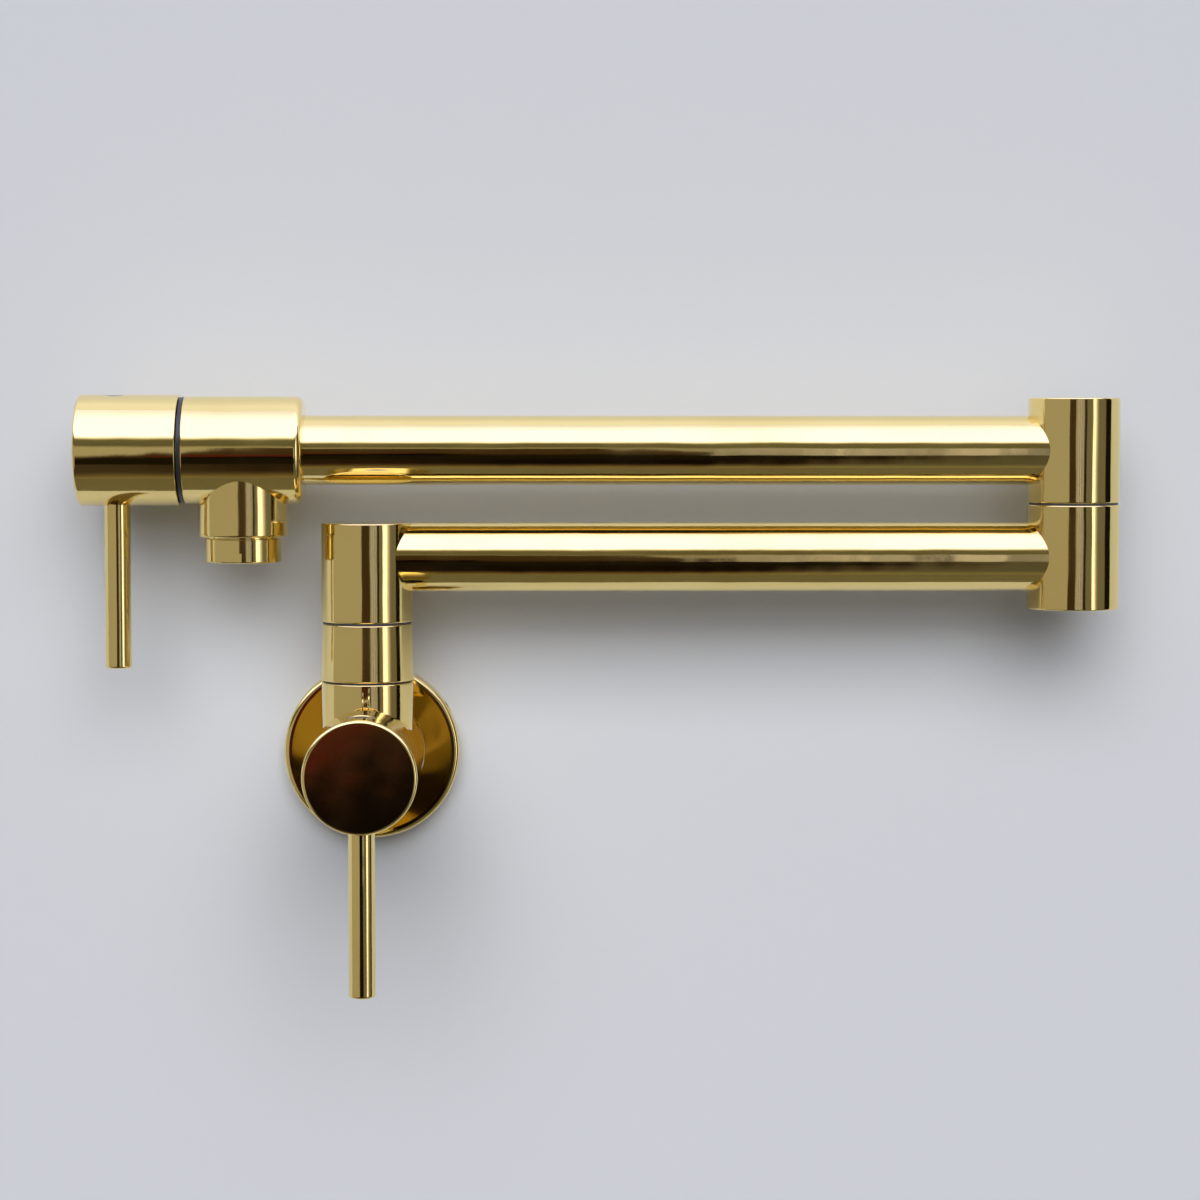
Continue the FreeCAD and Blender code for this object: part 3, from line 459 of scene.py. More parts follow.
# places read from the frame
columnLow, columnHigh = corners("column_knuckle")
elbowLow, elbowHigh = corners("elbow_lower_knuckle")
topLow, topHigh = corners("elbow_upper_knuckle")
columnAxis = middle("column_knuckle")
elbowAxis = middle("elbow_lower_knuckle")
spoutLow, spoutHigh = corners("spout_body")
lowerArmZ = middle("lower_arm_tube")[2]
upperArmZ = middle("upper_arm_tube")[2]
aeratorLow, aeratorHigh = corners("aerator_housing")
outletAxis = middle("aerator_housing")
hair = 0.05      # smallest rounding, a deburred edge


knuckleShape = {
    "radius": 14.85,
    "edge": 0.5,
    "bore": 10.0,
    "capBore": 12.6,
    "capDrop": 3.5,
    "capEdge": 0.18,
}


def knuckle(name, low, high, body):
    # ring with a counterbore for its cap, as one closed profile turned about the swivel axis
    s = knuckleShape
    tall = (high[2] - low[2]) / mm
    ring = [(s["bore"], 0, hair), (s["radius"], 0, s["edge"]), (s["radius"], tall, s["edge"]),
            (s["capBore"], tall, s["capEdge"]), (s["capBore"], tall - s["capDrop"], hair),
            (s["bore"], tall - s["capDrop"], hair)]
    makePiece(name + "Dressed", [turnedPatch(ring, foot(low, high), upright, True)], body,
              "brassUpright", [name])


def cap(name, body):
    low, high = corners(name)
    s = knuckleShape
    wide, thick = (high[0] - low[0]) / 2 / mm, (high[2] - low[2]) / mm
    disc = [(0, 0, 0), (wide, 0, hair), (wide, thick, s["capEdge"]), (0, thick, 0)]
    makePiece(name + "Dressed", [turnedPatch(disc, foot(low, high), upright)], body,
              "brassUpright", [name])


knuckle("column_knuckle", columnLow, columnHigh, "lower_arm")
knuckle("elbow_upper_knuckle", topLow, topHigh, "upper_arm")
cap("column_cap", "lower_arm")
cap("elbow_cap", "upper_arm")


elbowShape = {"bore": 9.05, "floor": 6.5, "flangeBore": 12.1, "flangeDrop": 2.7}


def lowerElbow():
    s, k = elbowShape, knuckleShape
    tall = (elbowHigh[2] - elbowLow[2]) / mm
    cup = [(0, 0, 0), (k["radius"], 0, k["edge"]), (k["radius"], tall, k["edge"]),
           (s["flangeBore"], tall, hair), (s["flangeBore"], tall - s["flangeDrop"], hair),
           (s["bore"], tall - s["flangeDrop"], hair), (s["bore"], s["floor"], hair), (0, s["floor"], 0)]
    patches = [turnedPatch(cup, foot(elbowLow, elbowHigh), upright)]
    makePiece("elbow_lower_knuckleDressed", patches, "lower_arm",
              "brassUpright", ["elbow_lower_knuckle"])


lowerElbow()


collarShape = {"flare": 0.25, "bore": 9.05}


def collar():
    low, high = corners("swivel_collar")
    s, k, e = collarShape, knuckleShape, elbowShape
    tall = (high[2] - low[2]) / mm
    ring = [(s["bore"], 0, hair), (k["radius"] + s["flare"], 0, k["edge"]),
            (k["radius"] - s["flare"], tall, k["edge"]), (e["flangeBore"], tall, hair),
            (e["flangeBore"], tall - e["flangeDrop"], hair), (s["bore"], tall - e["flangeDrop"], hair)]
    makePiece("swivel_collarDressed", [turnedPatch(ring, foot(low, high), upright, True)], "wall_valve",
              "brassUpright", ["swivel_collar"])


collar()
print("swivel joints dressed")


armShape = {"radius": 11.25, "wall": 1.25, "brazeGap": 0.05, "stations": 40}


def coped(radius, knuckleRadius, angle):
    # how far the saddle on an upright knuckle stands from its axis at each angle round the tube
    across = radius * np.cos(angle)
    return np.sqrt(knuckleRadius ** 2 - across ** 2)


def armTube(name, z, left, right, body):
    # left and right: (place along X, knuckle radius or None for a square end)
    s = armShape
    angle = np.linspace(0.0, 2 * math.pi, around, endpoint=False)
    out, inn = s["radius"] * mm, (s["radius"] - s["wall"]) * mm
    share = np.linspace(0.0, 1.0, s["stations"])[:, None]

    def skin(radius, flip):
        a = left[0] + (0 * angle if left[1] is None else coped(radius, left[1], angle))
        b = right[0] - (0 * angle if right[1] is None else coped(radius, right[1], angle))
        x = a + (b - a) * (1 - share if flip else share)
        y = columnAxis[1] + radius * np.cos(angle) + 0 * x
        h = z + radius * np.sin(angle) + 0 * x
        sign = -1.0 if flip else 1.0
        facing = np.stack([0 * x, sign * np.cos(angle) + 0 * x, sign * np.sin(angle) + 0 * x], -1)
        return np.stack([x, y, h], -1), facing
    outer, outerFacing = skin(out, False)
    inner, innerFacing = skin(inn, True)

    def rim(first, last, direction):
        facing = np.zeros((2,) + first.shape)
        facing[..., 0] = direction
        return np.stack([first, last]), facing, True
    patches = [(outer, outerFacing, True), (inner, innerFacing, True),
               rim(outer[-1], inner[0], 1.0), rim(inner[-1], outer[0], -1.0)]
    makePiece(name + "Dressed", patches, body, "brassAlongX", [name])


saddle = knuckleShape["radius"] * mm
armTube("lower_arm_tube", lowerArmZ, (columnAxis[0], saddle), (elbowAxis[0], saddle), "lower_arm")
plugEnd = corners("upper_arm_tube")[0][0]
armTube("upper_arm_tube", upperArmZ, (plugEnd, None), (elbowAxis[0], saddle), "upper_arm")
print("arms dressed")


bodyShape = {
    "radius": 17.5,
    "edge": 0.5,
    "chamber": 12.0,
    "chamberDepth": 28.0,
    "throat": 6.0,
    "shoulder": 2.5,
    "outlet": 14.5,
    "outletEdge": 0.9,
    "outletBore": 11.55,
    "outletBoreDepth": 8.5,
    "riser": 6.5,
    "postBore": 9.05,
    "postDepth": 9.7,
}


def bossPatches(radius, edge, bore, boreDepth, way, length, origin, axes, barrelRadius, barrelAxis):
    # sleeve that grows out of a barrel: its foot follows the barrel's round, h = sqrt(R^2 - (r s)^2),
    # where s is the sine or cosine of the angle away from the barrel's axis
    angle = np.linspace(0.0, 2 * math.pi, around, endpoint=False)
    aside = np.cos(angle) if barrelAxis == "y" else np.sin(angle)
    root = np.sqrt((barrelRadius * mm) ** 2 - (radius * mm * aside) ** 2) - hair * mm
    points, normals = outline([(radius, length / 2, 0), (radius, length, edge), (bore, length, hair),
                               (bore, length - boreDepth, hair), (way, length - boreDepth, hair),
                               (way, length / 3, 0)], False)
    r, h = points[:, :1], points[:, 1:]
    r = np.concatenate([r[:1], r])
    h = np.concatenate([h[:1] + 0 * angle, h + 0 * angle])
    normals = np.concatenate([normals[:1], normals])
    h[0] = root
    wall = np.stack([r * np.cos(angle), r * np.sin(angle), h], -1) @ axes + np.array(origin)
    facing = np.stack([normals[:, :1] * np.cos(angle), normals[:, :1] * np.sin(angle),
                       normals[:, 1:] + 0 * angle], -1) @ axes
    return [(wall, facing, True)]


def valveBody():
    s, k = bodyShape, knuckleShape
    low, high = corners("valve_body")
    front, back = -low[1] / mm, -high[1] / mm
    barrel = [(s["throat"], back, hair), (s["radius"], back, hair), (s["radius"], front, s["edge"]),
              (s["chamber"], front, hair), (s["chamber"], front - s["chamberDepth"], hair),
              (s["throat"], front - s["chamberDepth"], hair)]
    patches = [turnedPatch(barrel, (0, 0, 0), fromWall, True)]
    patches += bossPatches(k["radius"], k["edge"], s["postBore"], s["postDepth"], s["riser"], high[2] / mm,
                           (columnAxis[0], columnAxis[1], 0.0), upright, s["radius"], "y")
    makePiece("valve_bodyDressed", patches, "wall_valve", "brassUpright", ["valve_body"])


def spoutBody():
    s = bodyShape
    long = (spoutHigh[0] - spoutLow[0]) / mm
    socket = armShape["radius"] + armShape["brazeGap"]
    barrel = [(socket, 0, hair), (s["radius"], 0, s["shoulder"]), (s["radius"], long, s["edge"]),
              (s["chamber"], long, hair), (s["chamber"], long - s["chamberDepth"], hair),
              (socket, long - s["chamberDepth"], hair)]
    patches = [turnedPatch(barrel, (spoutHigh[0], columnAxis[1], upperArmZ), fromSpout, True)]
    patches += bossPatches(s["outlet"], s["outletEdge"], s["outletBore"], s["outletBoreDepth"], s["riser"],
                           (upperArmZ - spoutLow[2]) / mm, (outletAxis[0], columnAxis[1], upperArmZ),
                           hanging, s["radius"], "x")
    makePiece("spout_bodyDressed", patches, "upper_arm", "brassSideways", ["spout_body"])


valveBody()
spoutBody()
print("valve bodies dressed")


hubShape = {
    "radius": 18.0,
    "faceEdge": 1.1,
    "backEdge": 0.4,
    "cavity": 14.0,
    "cavityDepth": 6.0,
    "leverInset": 12.0,
    "screwHole": 4.35,
    "screwEdge": 0.35,
    "screwFloor": 9.5,
}
windowShape = {"holeShare": 1.55, "fanRings": 7, "lipRings": 5}
step = 2 * math.pi / around


def windowHalf(hole, radius):
    # steps of angle from the middle of a hole to the frame round it
    return int(math.ceil(windowShape["holeShare"] * hole / radius / step))


def holedWall(radius, low, high, place, hole, edge, floor, origin, axes, toward):
    # straight wall of a turned piece between two heights, with a round hole at one angle: the wall is a
    # grid with a window left out, and a fan of rings joins the window's frame to the hole
    angle = np.linspace(0.0, 2 * math.pi, around, endpoint=False)
    half = windowHalf(hole, radius)
    centre = int(round(toward / step))
    rows = np.linspace(low, high, 2 * half + 1)
    inside = np.arange(-half, half + 1) + centre
    outside = (np.arange(half, around - half + 1) + centre) % around

    def wall(theta, h):
        at = np.stack([radius * np.cos(theta), radius * np.sin(theta), h], -1) * mm
        out = np.stack([np.cos(theta), np.sin(theta), 0 * h], -1)
        return at @ axes + np.array(origin), out @ axes
    grid = np.broadcast_arrays(angle[outside][None, :], rows[:, None])
    patches = [wall(*grid) + (False,)]
    across = inside * step
    mid = centre * step
    last = 2 * half
    frameAngle = np.concatenate([across[:-1], np.full(last, across[-1]), across[:0:-1],
                                 np.full(last, across[0])])
    frameHeight = np.concatenate([np.full(last, low), rows[:-1], np.full(last, high), rows[:0:-1]])
    spin = np.arctan2(frameHeight - place, radius * np.sin(frameAngle - mid))
    rim = hole + edge
    rimAngle = mid + np.arcsin(rim * np.cos(spin) / radius)
    rimHeight = place + rim * np.sin(spin)
    share = np.linspace(0.0, 1.0, windowShape["fanRings"])[:, None]
    theta = frameAngle + (rimAngle - frameAngle) * share
    height = frameHeight + (rimHeight - frameHeight) * share
    patches.append(wall(theta, height) + (True,))
    # rounded lip, then the hole's wall down to its floor
    lip = np.linspace(0.0, math.pi / 2, windowShape["lipRings"])[:, None]
    r = np.concatenate([rim - edge * np.sin(lip), [[hole], [0.0]]])
    side = r * np.cos(spin)
    drop = np.concatenate([edge * (1 - np.cos(lip)), [[0.0], [0.0]]])
    depth = np.sqrt(radius ** 2 - side ** 2) - drop
    depth[-2:] = floor
    lipOut = np.concatenate([np.cos(lip), [[0.0], [1.0]]])
    lipIn = np.concatenate([np.sin(lip), [[1.0], [0.0]]])
    u = np.array([-math.sin(mid), math.cos(mid), 0.0])
    w = np.array([math.cos(mid), math.sin(mid), 0.0])
    v = np.array([0.0, 0.0, 1.0])
    up = (place + r * np.sin(spin))[..., None] * v
    at = (side[..., None] * u + depth[..., None] * w + up) * mm
    inward = (lipIn * np.cos(spin))[..., None] * u + (lipIn * np.sin(spin))[..., None] * v
    facing = lipOut[..., None] * w - inward
    patches.append((at @ axes + np.array(origin), facing @ axes, True))
    return patches


def hub(name, origin, axes, back, front, body):
    # cap over the cartridge: face, wall with the grip screw's hole, hollow back
    s = hubShape
    place = front - s["leverInset"]
    reach = windowHalf(s["screwHole"], s["radius"]) * step * s["radius"]
    low, high = place - reach, place + reach
    rear = [(0, back + s["cavityDepth"], 0), (s["cavity"], back + s["cavityDepth"], hair),
            (s["cavity"], back, hair), (s["radius"], back, s["backEdge"]), (s["radius"], low, 0)]
    nose = [(s["radius"], high, 0), (s["radius"], front, s["faceEdge"]), (0, front, 0)]
    patches = [turnedPatch(rear, origin, axes), turnedPatch(nose, origin, axes)]
    patches += holedWall(s["radius"], low, high, place, s["screwHole"], s["screwEdge"], s["screwFloor"],
                         origin, axes, math.pi / 2)
    look = "brassAlongY" if axes is fromWall else "brassSideways"
    makePiece(name + "Dressed", patches, body, look, [name])


wallHubLow, wallHubHigh = corners("wall_hub")
spoutHubLow, spoutHubHigh = corners("spout_hub")
hub("wall_hub", (0, 0, 0), fromWall, -wallHubHigh[1] / mm, -wallHubLow[1] / mm, "wall_handle")
hub("spout_hub", (0, columnAxis[1], upperArmZ), fromSpout, -spoutHubHigh[0] / mm, -spoutHubLow[0] / mm,
    "spout_handle")


leverShape = {"tipEdge": 0.8, "root": 13.5}


def lever(name, body, axisZ):
    s = leverShape
    low, high = corners(name)
    wide, tip = (high[0] - low[0]) / 2 / mm, (axisZ - low[2]) / mm
    stick = [(0, s["root"], 0), (wide, s["root"], hair), (wide, tip, s["tipEdge"]), (0, tip, 0)]
    spot = ((low[0] + high[0]) / 2, (low[1] + high[1]) / 2, axisZ)
    makePiece(name + "Dressed", [turnedPatch(stick, spot, hanging)], body,
              "brassUpright", [name])


lever("wall_lever", "wall_handle", 0.0)
lever("spout_lever", "spout_handle", upperArmZ)


spacerShape = {"bore": 13.6, "edge": 0.15}


def spacer(name, axes, body):
    s = spacerShape
    low, high = corners(name)
    k = 1 if axes is fromWall else 0
    thick = (high[k] - low[k]) / mm
    wide = (high[2] - low[2]) / 2 / mm
    ring = [(s["bore"], 0, hair), (wide, 0, s["edge"]), (wide, thick, s["edge"]), (s["bore"], thick, hair)]
    spot = (low + high) / 2
    spot[k] = high[k]
    makePiece(name + "Dressed", [turnedPatch(ring, spot, axes, True)], body,
              "black_acetal", [name])


spacer("wall_spacer_ring", fromWall, "wall_valve")
spacer("spout_spacer_ring", fromSpout, "upper_arm")
print("handles dressed")


flangeShape = {
    "radius": 29.2,
    "edge": 1.7,
    "land": 0.9,
    "dish": 1.7,
    "plate": 3.0,
    "rim": 5.0,
    "bore": 17.6,
    "sleeve": 21.0,
    "sleeveBack": 2.5,
    "cornerEdge": 0.2,
    "screwHole": 2.4,
    "screwEdge": 0.25,
    "screwBelow": 3.9,
    "screwFloor": 20.5,
    "screwHeight": 5.0,
    "screwAngle": 30.0,
    "groove": 27.2,
    "grooveWidth": 2.0,
    "grooveDepth": 1.5,
}


def flange():
    s = flangeShape
    low, high = corners("wall_flange")
    deep = (high[1] - low[1]) / mm
    reach = windowHalf(s["screwHole"], s["radius"]) * step * s["radius"]
    lowEdge = s["screwHeight"] - min(reach, s["screwBelow"])
    highEdge = s["screwHeight"] + min(reach, deep - s["edge"] - s["screwHeight"])
    inner = s["radius"] - s["edge"] - s["land"]
    rim, grooveIn, under = s["radius"] - s["rim"], s["groove"] - s["grooveWidth"], deep - s["plate"]
    front = [(s["radius"], highEdge, 0), (s["radius"], deep, s["edge"]), (inner, deep, s["land"] / 2),
             (s["bore"], deep - s["dish"], s["cornerEdge"]), (s["bore"], s["sleeveBack"], hair),
             (s["sleeve"], s["sleeveBack"], hair), (s["sleeve"], under, hair), (rim, under, hair),
             (rim, 0, hair), (grooveIn, 0, hair), (grooveIn, s["grooveDepth"], hair),
             (s["groove"], s["grooveDepth"], hair), (s["groove"], 0, hair),
             (s["radius"], 0, s["cornerEdge"]), (s["radius"], lowEdge, 0)]
    patches = [turnedPatch(front, (0, 0, 0), fromWall)]
    patches += holedWall(s["radius"], lowEdge, highEdge, s["screwHeight"], s["screwHole"], s["screwEdge"],
                         s["screwFloor"], (0, 0, 0), fromWall, math.radians(s["screwAngle"]))
    makePiece("wall_flangeDressed", patches, "wall_valve", "brassFlange", ["wall_flange"])


flange()


shankShape = {
    "pitch": 1.814,
    "depth": 1.16,
    "flankShare": 1.3,      # steepness of the triangle wave, whose ends are clipped to flats
    "crestShare": 0.15,
    "runIn": 1.2,
    "runOut": 0.4,
    "rows": 260,
    "bore": 7.0,
    "tail": 10.35,
    "relief": 9.35,
    "reliefLength": 1.5,
    "chamfer": 1.0,
}


def shank():
    # thread: the radius falls from the crest by a rounded triangle wave of h / pitch minus the turn
    s = shankShape
    low, high = corners("inlet_shank")
    crest = (high[0] - low[0]) / 2 / mm
    start, end = 0.0, high[1] / mm
    angle = np.linspace(0.0, 2 * math.pi, around, endpoint=False)[None, :]
    h = np.linspace(start, end, s["rows"])[:, None]
    wave = np.abs(((h / s["pitch"] - angle / (2 * math.pi)) % 1.0) * 2 - 1)
    wave = np.clip(wave * s["flankShare"] - s["crestShare"], 0.0, 1.0)
    fade = np.clip((h - start) / s["runIn"], 0.0, 1.0) * np.clip((end - h) / s["runOut"], 0.0, 1.0)
    r = crest - s["depth"] * wave * fade
    r = np.minimum(r, crest - s["chamfer"] + (end - h))
    at = np.stack([r * np.cos(angle), r * np.sin(angle), h + 0 * angle], -1) * mm @ intoWall
    du = np.roll(at, -1, 1) - np.roll(at, 1, 1)
    dv = np.gradient(at, axis=0)
    facing = np.cross(du, dv)
    thread = (at, facing, True)
    inner, neck = low[1] / mm, -s["reliefLength"]
    head = [(crest - s["chamfer"], end, 0), (s["bore"], end, hair), (s["bore"], inner, hair),
            (s["tail"], inner, hair), (s["tail"], neck, hair), (s["relief"], neck, hair),
            (s["relief"], 0.0, hair), (crest, 0.0, 0)]
    patches = [thread, turnedPatch(head, (0, 0, 0), intoWall)]
    makePiece("inlet_shankDressed", patches, "wall_valve",
              "machined_brass", ["inlet_shank"])


shank()


aeratorShape = {
    "radius": 12.4,
    "neck": 11.5,
    "neckTop": 7.0,
    "seam": 0.5,
    "bore": 9.6,
    "lip": 0.8,
    "lipHeight": 3.0,
    "edge": 0.6,
    "topEdge": 0.25,
    "mouthEdge": 0.2,
    "foot": 0.5,
    "count": 384,
    "flatDepth": 0.45,
    "flatHeight": 3.2,
    "flatAngle": 13.0,
}


def aerator():
    # housing: a turned profile down to a ledge, then a band held inside two flats,
    # r = min(R, d / |cos(a - a0)|), with a rounded foot
    s = aeratorShape
    tall = (aeratorHigh[2] - aeratorLow[2]) / mm
    ledge, seat = tall - s["flatHeight"], s["neckTop"] + s["seam"]
    mouth = s["bore"] - s["lip"]
    face = mouth + s["foot"]
    rest = [(face, tall, 0), (mouth, tall, s["mouthEdge"]), (mouth, tall - s["lipHeight"], hair),
            (s["bore"], tall - s["lipHeight"], hair), (s["bore"], 0, hair), (s["neck"], 0, hair),
            (s["neck"], seat, hair), (s["radius"], seat, s["topEdge"]), (s["radius"], ledge, 0)]
    angle = np.linspace(0.0, 2 * math.pi, s["count"], endpoint=False)
    first = math.radians(90 + s["flatAngle"])
    lean = np.cos(angle - first)
    near = s["radius"] - s["flatDepth"]
    onFlat = np.abs(lean) * s["radius"] > near
    r = near / np.where(onFlat, np.abs(lean), near / s["radius"])
    facing = np.where(onFlat, first + np.where(lean > 0, 0.0, math.pi), angle)
    t = np.linspace(0.0, math.pi / 2, bend)[:, None]
    none = np.zeros((1, 1))
    inward = np.concatenate([none, none, s["edge"] * (1 - np.cos(t))])
    radius = np.concatenate([none + s["radius"] + 0 * r, r - inward, none + face + 0 * r])
    height = np.concatenate([none + ledge, none + ledge, none + ledge,
                             tall - s["edge"] * (1 - np.sin(t)), none + tall])
    aside = np.concatenate([none, none, none + 1, np.cos(t), none])
    down = np.concatenate([none + 1, none + 1, none, np.sin(t), none + 1])
    spot = (outletAxis[0], columnAxis[1], aeratorHigh[2])
    band = np.stack([radius * np.cos(angle), radius * np.sin(angle), height + 0 * radius], -1) * mm @ hanging
    normal = np.stack([aside * np.cos(facing), aside * np.sin(facing), down + 0 * radius], -1) @ hanging
    patches = [turnedPatch(rest, spot, hanging, False, s["count"]), (band + np.array(spot), normal, True)]
    makePiece("aerator_housingDressed", patches, "upper_arm", "brassUpright",
              ["aerator_housing"])


aerator()
print("inlet, flange and outlet dressed")


# the remaining solids keep their own shapes
slotOf = {part["node"]: part["material_slot"] for part in frame["record"]["subparts"]}
for node, solid in frame["nodes"].items():
    solid.data.materials.clear()
    solid.data.materials.append(looks[slotOf[node]])


# stage: pale wall behind the flange and pale floor well below, both see-through from behind
stageLook = {
    "wall": (0.63, 0.65, 0.70, 1.0),
    "floor": (0.80, 0.80, 0.79, 1.0),
    "floorShade": (0.19, 0.172, 0.12, 1.0),     # what the floor gives back to the object
    "glow": ((0.08, 0.0), (0.26, 0.50)),
    "noGlow": ((0.0, 0.0), (1.0, 0.0)),
    "glowTint": (0.80, 0.87, 1.40, 1.0),
    "hole": 0.024,
    "left": -2.5,
    "right": 2.5,
    "top": 2.2,
    "floorHeight": -0.85,
    "floorFront": -0.60,
}


def stageMaterial(name, colour, shade, glow, hole):
    # glow: height and strength, low and high, of the extra light that only reflections see
    # hole: radius of the way cut round the inlet axis
    material, sheet = newMaterial(name)
    behind = sheet.add("ShaderNodeNewGeometry", None, None, "Backfacing")
    seen = sheet.add("ShaderNodeLightPath", None, None, "Is Camera Ray")
    mirrored = sheet.add("ShaderNodeLightPath", None, None, "Is Glossy Ray")
    x, y, z = sheet.parts(sheet.place())
    away = (x ** 2 + y ** 2 + z ** 2) ** 0.5
    inside = sheet.add("ShaderNodeMath", {"operation": "LESS_THAN"}, {0: away, 1: hole})
    (low, dim), (high, bright) = glow
    level = sheet.spread(z, low, high, dim, bright) * mirrored
    matt = sheet.add("ShaderNodeBsdfDiffuse", None, {"Color": sheet.blend(seen, shade, colour)})
    lit = sheet.add("ShaderNodeEmission", None, {"Color": stageLook["glowTint"], "Strength": level})
    both = sheet.add("ShaderNodeAddShader", None, {0: matt, 1: lit})
    clear = sheet.add("ShaderNodeBsdfTransparent")
    shader = sheet.add("ShaderNodeMixShader", None, {0: behind + inside, 1: both, 2: clear})
    closeMaterial(sheet, shader)
    return material


def stageSheet(name, points, material):
    mesh = bpy.data.meshes.new(name)
    mesh.from_pydata(points, [], [(0, 1, 2, 3)])
    mesh.materials.append(material)
    obj = bpy.data.objects.new(name, mesh)
    scene.collection.objects.link(obj)
    return obj


def setStage():
    s = stageLook
    left, right, low, top, front = s["left"], s["right"], s["floorHeight"], s["top"], s["floorFront"]
    stageSheet("backdrop", [(left, 0, low), (right, 0, low), (right, 0, top), (left, 0, top)],
               stageMaterial("backdropPaint", s["wall"], s["wall"], s["glow"], s["hole"]))
    stageSheet("floor", [(left, front, low), (right, front, low), (right, 0, low), (left, 0, low)],
               stageMaterial("floorPaint", s["floor"], s["floorShade"], s["noGlow"], 0.0))


setStage()


# upright cards round the set that only the metal sees: two ends in plan, bottom and top, how wide the top
# is beside the bottom, how much of each half is a soft edge, the heights between which brightness and tint
# change from the first value to the second, how far that change leans and sways, number and depth of stripes
stripeRange = (0.35, 0.65)     # noise values between which a stripe goes from dark to bright
plainCard = {
    "taper": 1.0,
    "soft": 0.2,
    "fade": (-1.0, 1.0),
    "lean": 0.0,
    "sway": (1.0, 0.0),
    "stripes": (1.0, 0.0),
}
cards = {
    "softbox": {
        **plainCard, "from": (0.60, -0.28), "to": (1.90, -2.20), "span": (-0.75, 0.60), "soft": 0.7,
        "fade": (-0.48, -0.15), "level": (0.8, 1.9), "tint": [(1.0, 0.98, 1.05, 1.0)] * 2,
        "stripes": (9.0, 0.7)},
    "paleCard": {
        **plainCard, "from": (0.15, -0.98), "to": (0.49, -0.98), "span": (-0.17, 0.21), "soft": 0.25,
        "level": (0.34, 0.38), "tint": [(1.0, 0.97, 1.12, 1.0)] * 2, "stripes": (9.0, 0.95)},
    "flagStrip": {
        **plainCard, "from": (0.49, -0.98), "to": (0.62, -0.98), "span": (-0.20, 0.30), "soft": 0.4,
        "level": (0.012, 0.012), "tint": [(1.0, 0.85, 0.70, 1.0)] * 2},
    "flagFront": {
        **plainCard, "from": (-0.37, -1.05), "to": (0.35, -1.05), "span": (-0.45, 0.20), "taper": 0.42,
        "fade": (-0.20, -0.06), "level": (0.009, 0.046), "sway": (22.0, 0.16),
        "tint": [(1.0, 0.75, 0.33, 1.0), (1.0, 0.60, 0.26, 1.0)]},
    "redCard": {
        **plainCard, "from": (-0.20, -1.04), "to": (0.03, -1.04), "span": (-0.20, -0.067), "soft": 0.3,
        "fade": (-0.131, -0.087), "lean": 0.45, "level": (0.003, 0.085),
        "tint": [(1.0, 0.50, 0.40, 1.0), (1.0, 0.10, 0.06, 1.0)]},
    "flagRight": {
        **plainCard, "from": (0.66, -0.155), "to": (0.66, -0.001), "span": (-0.70, 0.55), "soft": 0.1,
        "level": (0.008, 0.008), "tint": [(1.0, 0.80, 0.65, 1.0)] * 2},
}


def setCard(name, card):
    material, sheet = newMaterial(name + "Cloth")
    x, y, z = sheet.parts(sheet.place())
    (x0, y0), (x1, y1), (low, high), (dim, bright) = card["from"], card["to"], card["span"], card["level"]
    midX, midY, halfX, halfY = (x0 + x1) / 2, (y0 + y1) / 2, (x1 - x0) / 2, (y1 - y0) / 2
    rate, swing = card["sway"]
    sway = (sheet.ripple(x * rate) - 0.5) * swing
    share = sheet.spread(z - (x - midX) * card["lean"] + sway, *card["fade"])
    # distance from the middle line, as a share of the half width at this height
    narrowing = 1 + sheet.spread(z, low, high) * (card["taper"] - 1)
    aside = ((x - midX) * halfX + (y - midY) * halfY) / (math.hypot(halfX, halfY) ** 2 * narrowing)
    number, depth = card["stripes"]
    weave = sheet.spread(sheet.ripple(aside * number), *stripeRange, 1 - depth, 1 + depth)
    glow = sheet.add("ShaderNodeEmission", None, {
        "Color": sheet.blend(share, *card["tint"]), "Strength": (dim + share * (bright - dim)) * weave})
    clear = sheet.add("ShaderNodeBsdfTransparent")
    fading = sheet.spread(sheet.absolute(aside), 1 - card["soft"], 1.0)
    closeMaterial(sheet, sheet.add("ShaderNodeMixShader", None, {0: fading, 1: glow, 2: clear}))
    obj = stageSheet(name, [(x0, y0, low), (x1, y1, low), (x1, y1, high), (x0, y0, high)], material)
    obj.visible_camera = False
    obj.visible_diffuse = False
    obj.visible_shadow = False


for cardName, card in cards.items():
    setCard(cardName, card)


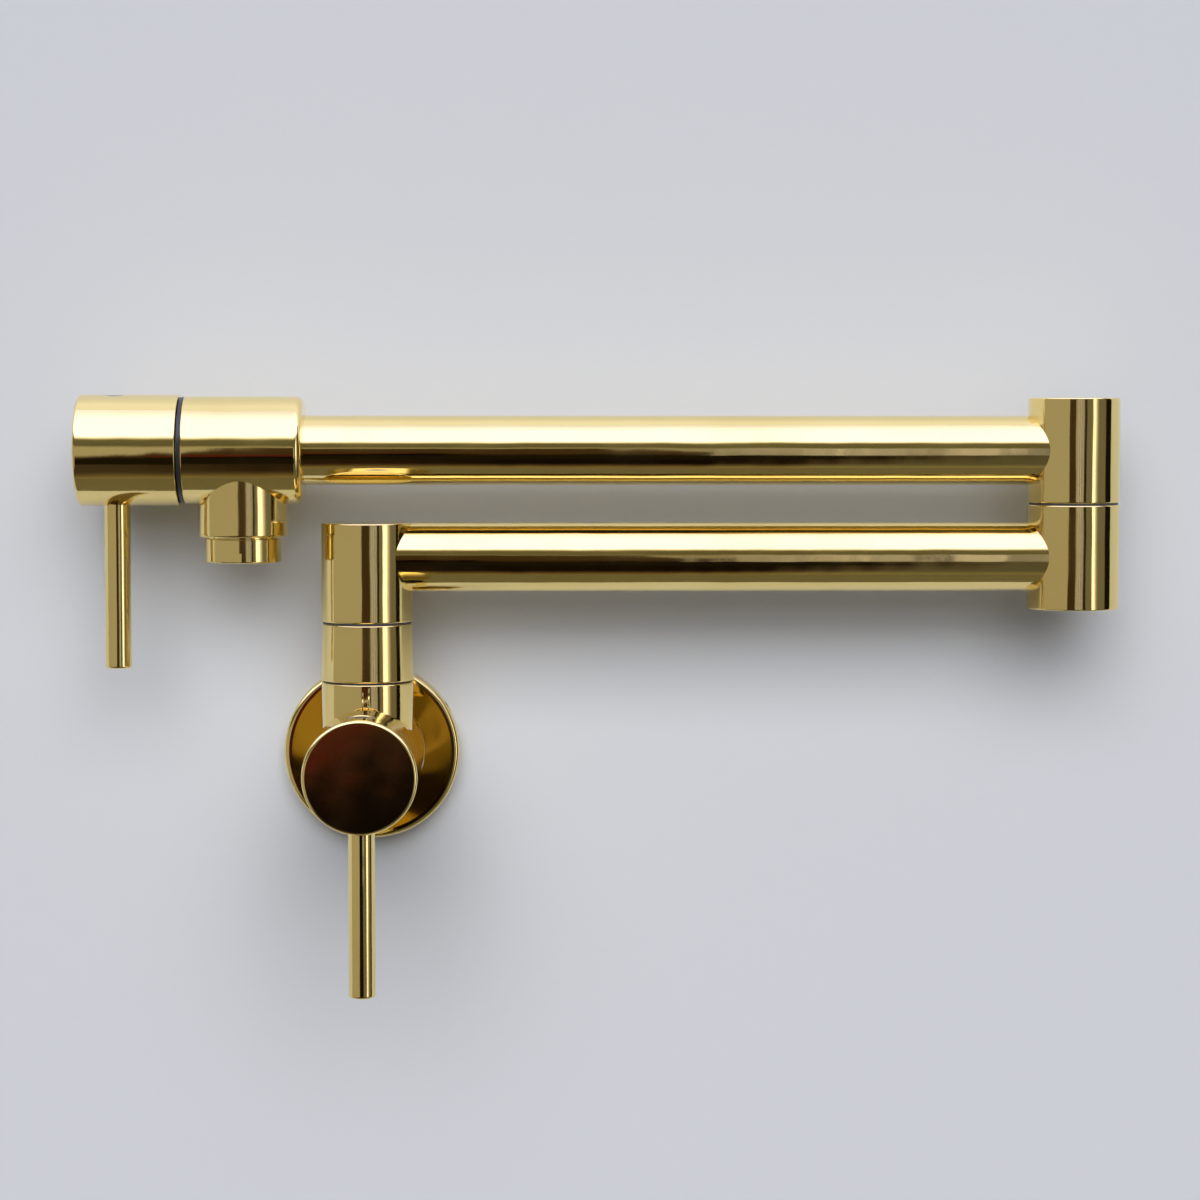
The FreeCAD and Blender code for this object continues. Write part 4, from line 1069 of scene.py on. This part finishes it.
# studio round the object, by direction in degrees: azimuth 0 is straight out of the wall and grows to the
# right; the metal sees a bright bank above a dim shelf, light sides and a dark front below; matt surfaces
# are lit by long strips that run along the wall, in steps of their height angle
studio = {
    "left": 0.385,       # brightness of the sides, which changes at the split
    "right": 0.16,
    "split": 3.0,
    "edge": 3.0,
    "shelfFrom": 8.0,
    "shelfEdge": 3.0,
    "shelf": 0.11,
    "bankFrom": 25.6,
    "bankFromEdge": 5.0,
    "bank": 1.75,
    "bankTo": 78.0,
    "bankToEdge": 14.0,
    "zenith": 1.0,
    # the dark below, in steps of azimuth: from where, from what height down, how bright, its tint
    "shades": [
        {"left": -200.0, "from": -30.0, "level": 0.015, "tint": (1.0, 0.80, 0.60, 1.0)},
        {"left": -30.0, "from": -14.0, "level": 0.05, "tint": (1.0, 0.75, 0.50, 1.0)},
        {"left": -8.0, "from": -14.0, "level": 0.022, "tint": (1.0, 0.60, 0.35, 1.0)},
        {"left": -3.0, "from": -14.0, "level": 0.006, "tint": (1.0, 0.60, 0.40, 1.0)},
        {"left": 8.0, "from": -15.0, "level": 0.10, "tint": (1.0, 0.95, 0.75, 1.0)},
        {"left": 62.0, "from": -30.0, "level": 0.015, "tint": (1.0, 0.80, 0.60, 1.0)},
    ],
    "shadeEdge": 5.0,
    "deepFrom": -56.0,
    "deepEdge": 14.0,
    "deep": 0.30,
    "deepTint": (1.0, 0.93, 0.38, 1.0),
    "shelfTint": (1.0, 0.92, 0.60, 1.0),
    "sway": (0.35, 9.0),     # waves in a degree, and how far they move the dark's edges
    "tint": (1.0, 0.94, 0.82, 1.0),
    "bankTint": (0.98, 1.03, 1.70, 1.0),
    # light on matt surfaces: height angle from which each step starts, and its brightness
    "matt": [(-90, 0.035), (-40, 0.34), (8, 3.3), (22, 5.8), (51, 0.05)],
    "mattEdge": 3.0,
    "mattSide": (0.2, 0.7),     # sideways part of the direction, between which the strips end
    "mattTint": (1.0, 1.0, 1.0, 1.0),
    "backdrop": (0.62, 0.64, 0.69, 1.0),
}


def setStudio():
    s = studio
    world = bpy.data.worlds.new("studio")
    scene.world = world
    world.use_nodes = True
    world.node_tree.nodes.clear()
    sheet = Sheet(world.node_tree)
    x, y, z = sheet.parts(sheet.place("Generated"))
    turn = sheet.angle(x, 0 - y)
    rise = sheet.add("ShaderNodeMath", {"operation": "ARCSINE"}, {0: z}) * (180 / math.pi)

    def past(value, edge, soft):
        return sheet.spread(value, edge - soft, edge + soft)

    def over(under, share, value):
        # lay a value over what is there, by a share
        return under * (1 - share) + share * value
    level = s["left"] + past(turn, s["split"], s["edge"]) * (s["right"] - s["left"])
    rate, swing = s["sway"]
    low = rise + (sheet.ripple(turn * rate) - 0.5) * swing
    deep = 1 - past(low, s["deepFrom"], s["deepEdge"])
    last = s["shades"][0]
    dark, top, hue = last["level"], last["from"], last["tint"]
    for part in s["shades"][1:]:
        share = past(turn, part["left"], s["edge"])
        dark = dark + share * (part["level"] - last["level"])
        top = top + share * (part["from"] - last["from"])
        hue = sheet.blend(share, hue, part["tint"])
        last = part
    below = 1 - past(low - top, 0.0, s["shadeEdge"])
    shelf = past(rise, s["shelfFrom"], s["shelfEdge"])
    bank = past(rise, s["bankFrom"], s["bankFromEdge"])
    peak = past(rise, s["bankTo"], s["bankToEdge"])
    level = over(level, below, dark + deep * (s["deep"] - dark))
    level = over(over(over(level, shelf, s["shelf"]), bank, s["bank"]), peak, s["zenith"])
    colour = sheet.blend(below, s["tint"], sheet.blend(deep, hue, s["deepTint"]))
    colour = sheet.blend(bank, sheet.blend(shelf, colour, s["shelfTint"]), s["bankTint"])
    slope = sheet.angle(z, sheet.absolute(y))
    last = s["matt"][0][1]
    matt = last
    for edge, value in s["matt"][1:]:
        matt = matt + past(slope, edge, s["mattEdge"]) * (value - last)
        last = value
    matt = matt * sheet.spread(sheet.absolute(x), *s["mattSide"], 1.0, 0.0)
    mirrored = sheet.add("ShaderNodeLightPath", None, None, "Is Glossy Ray")
    seen = sheet.add("ShaderNodeLightPath", None, None, "Is Camera Ray")
    light = sheet.add("ShaderNodeBackground", None, {
        "Color": sheet.blend(mirrored, s["mattTint"], colour), "Strength": over(matt, mirrored, level)})
    pale = sheet.add("ShaderNodeBackground", None, {"Color": s["backdrop"], "Strength": 1.0})
    sheet.add("ShaderNodeOutputWorld", None,
              {"Surface": sheet.add("ShaderNodeMixShader", None, {0: seen, 1: light, 2: pale})})


setStudio()
print("studio lit")
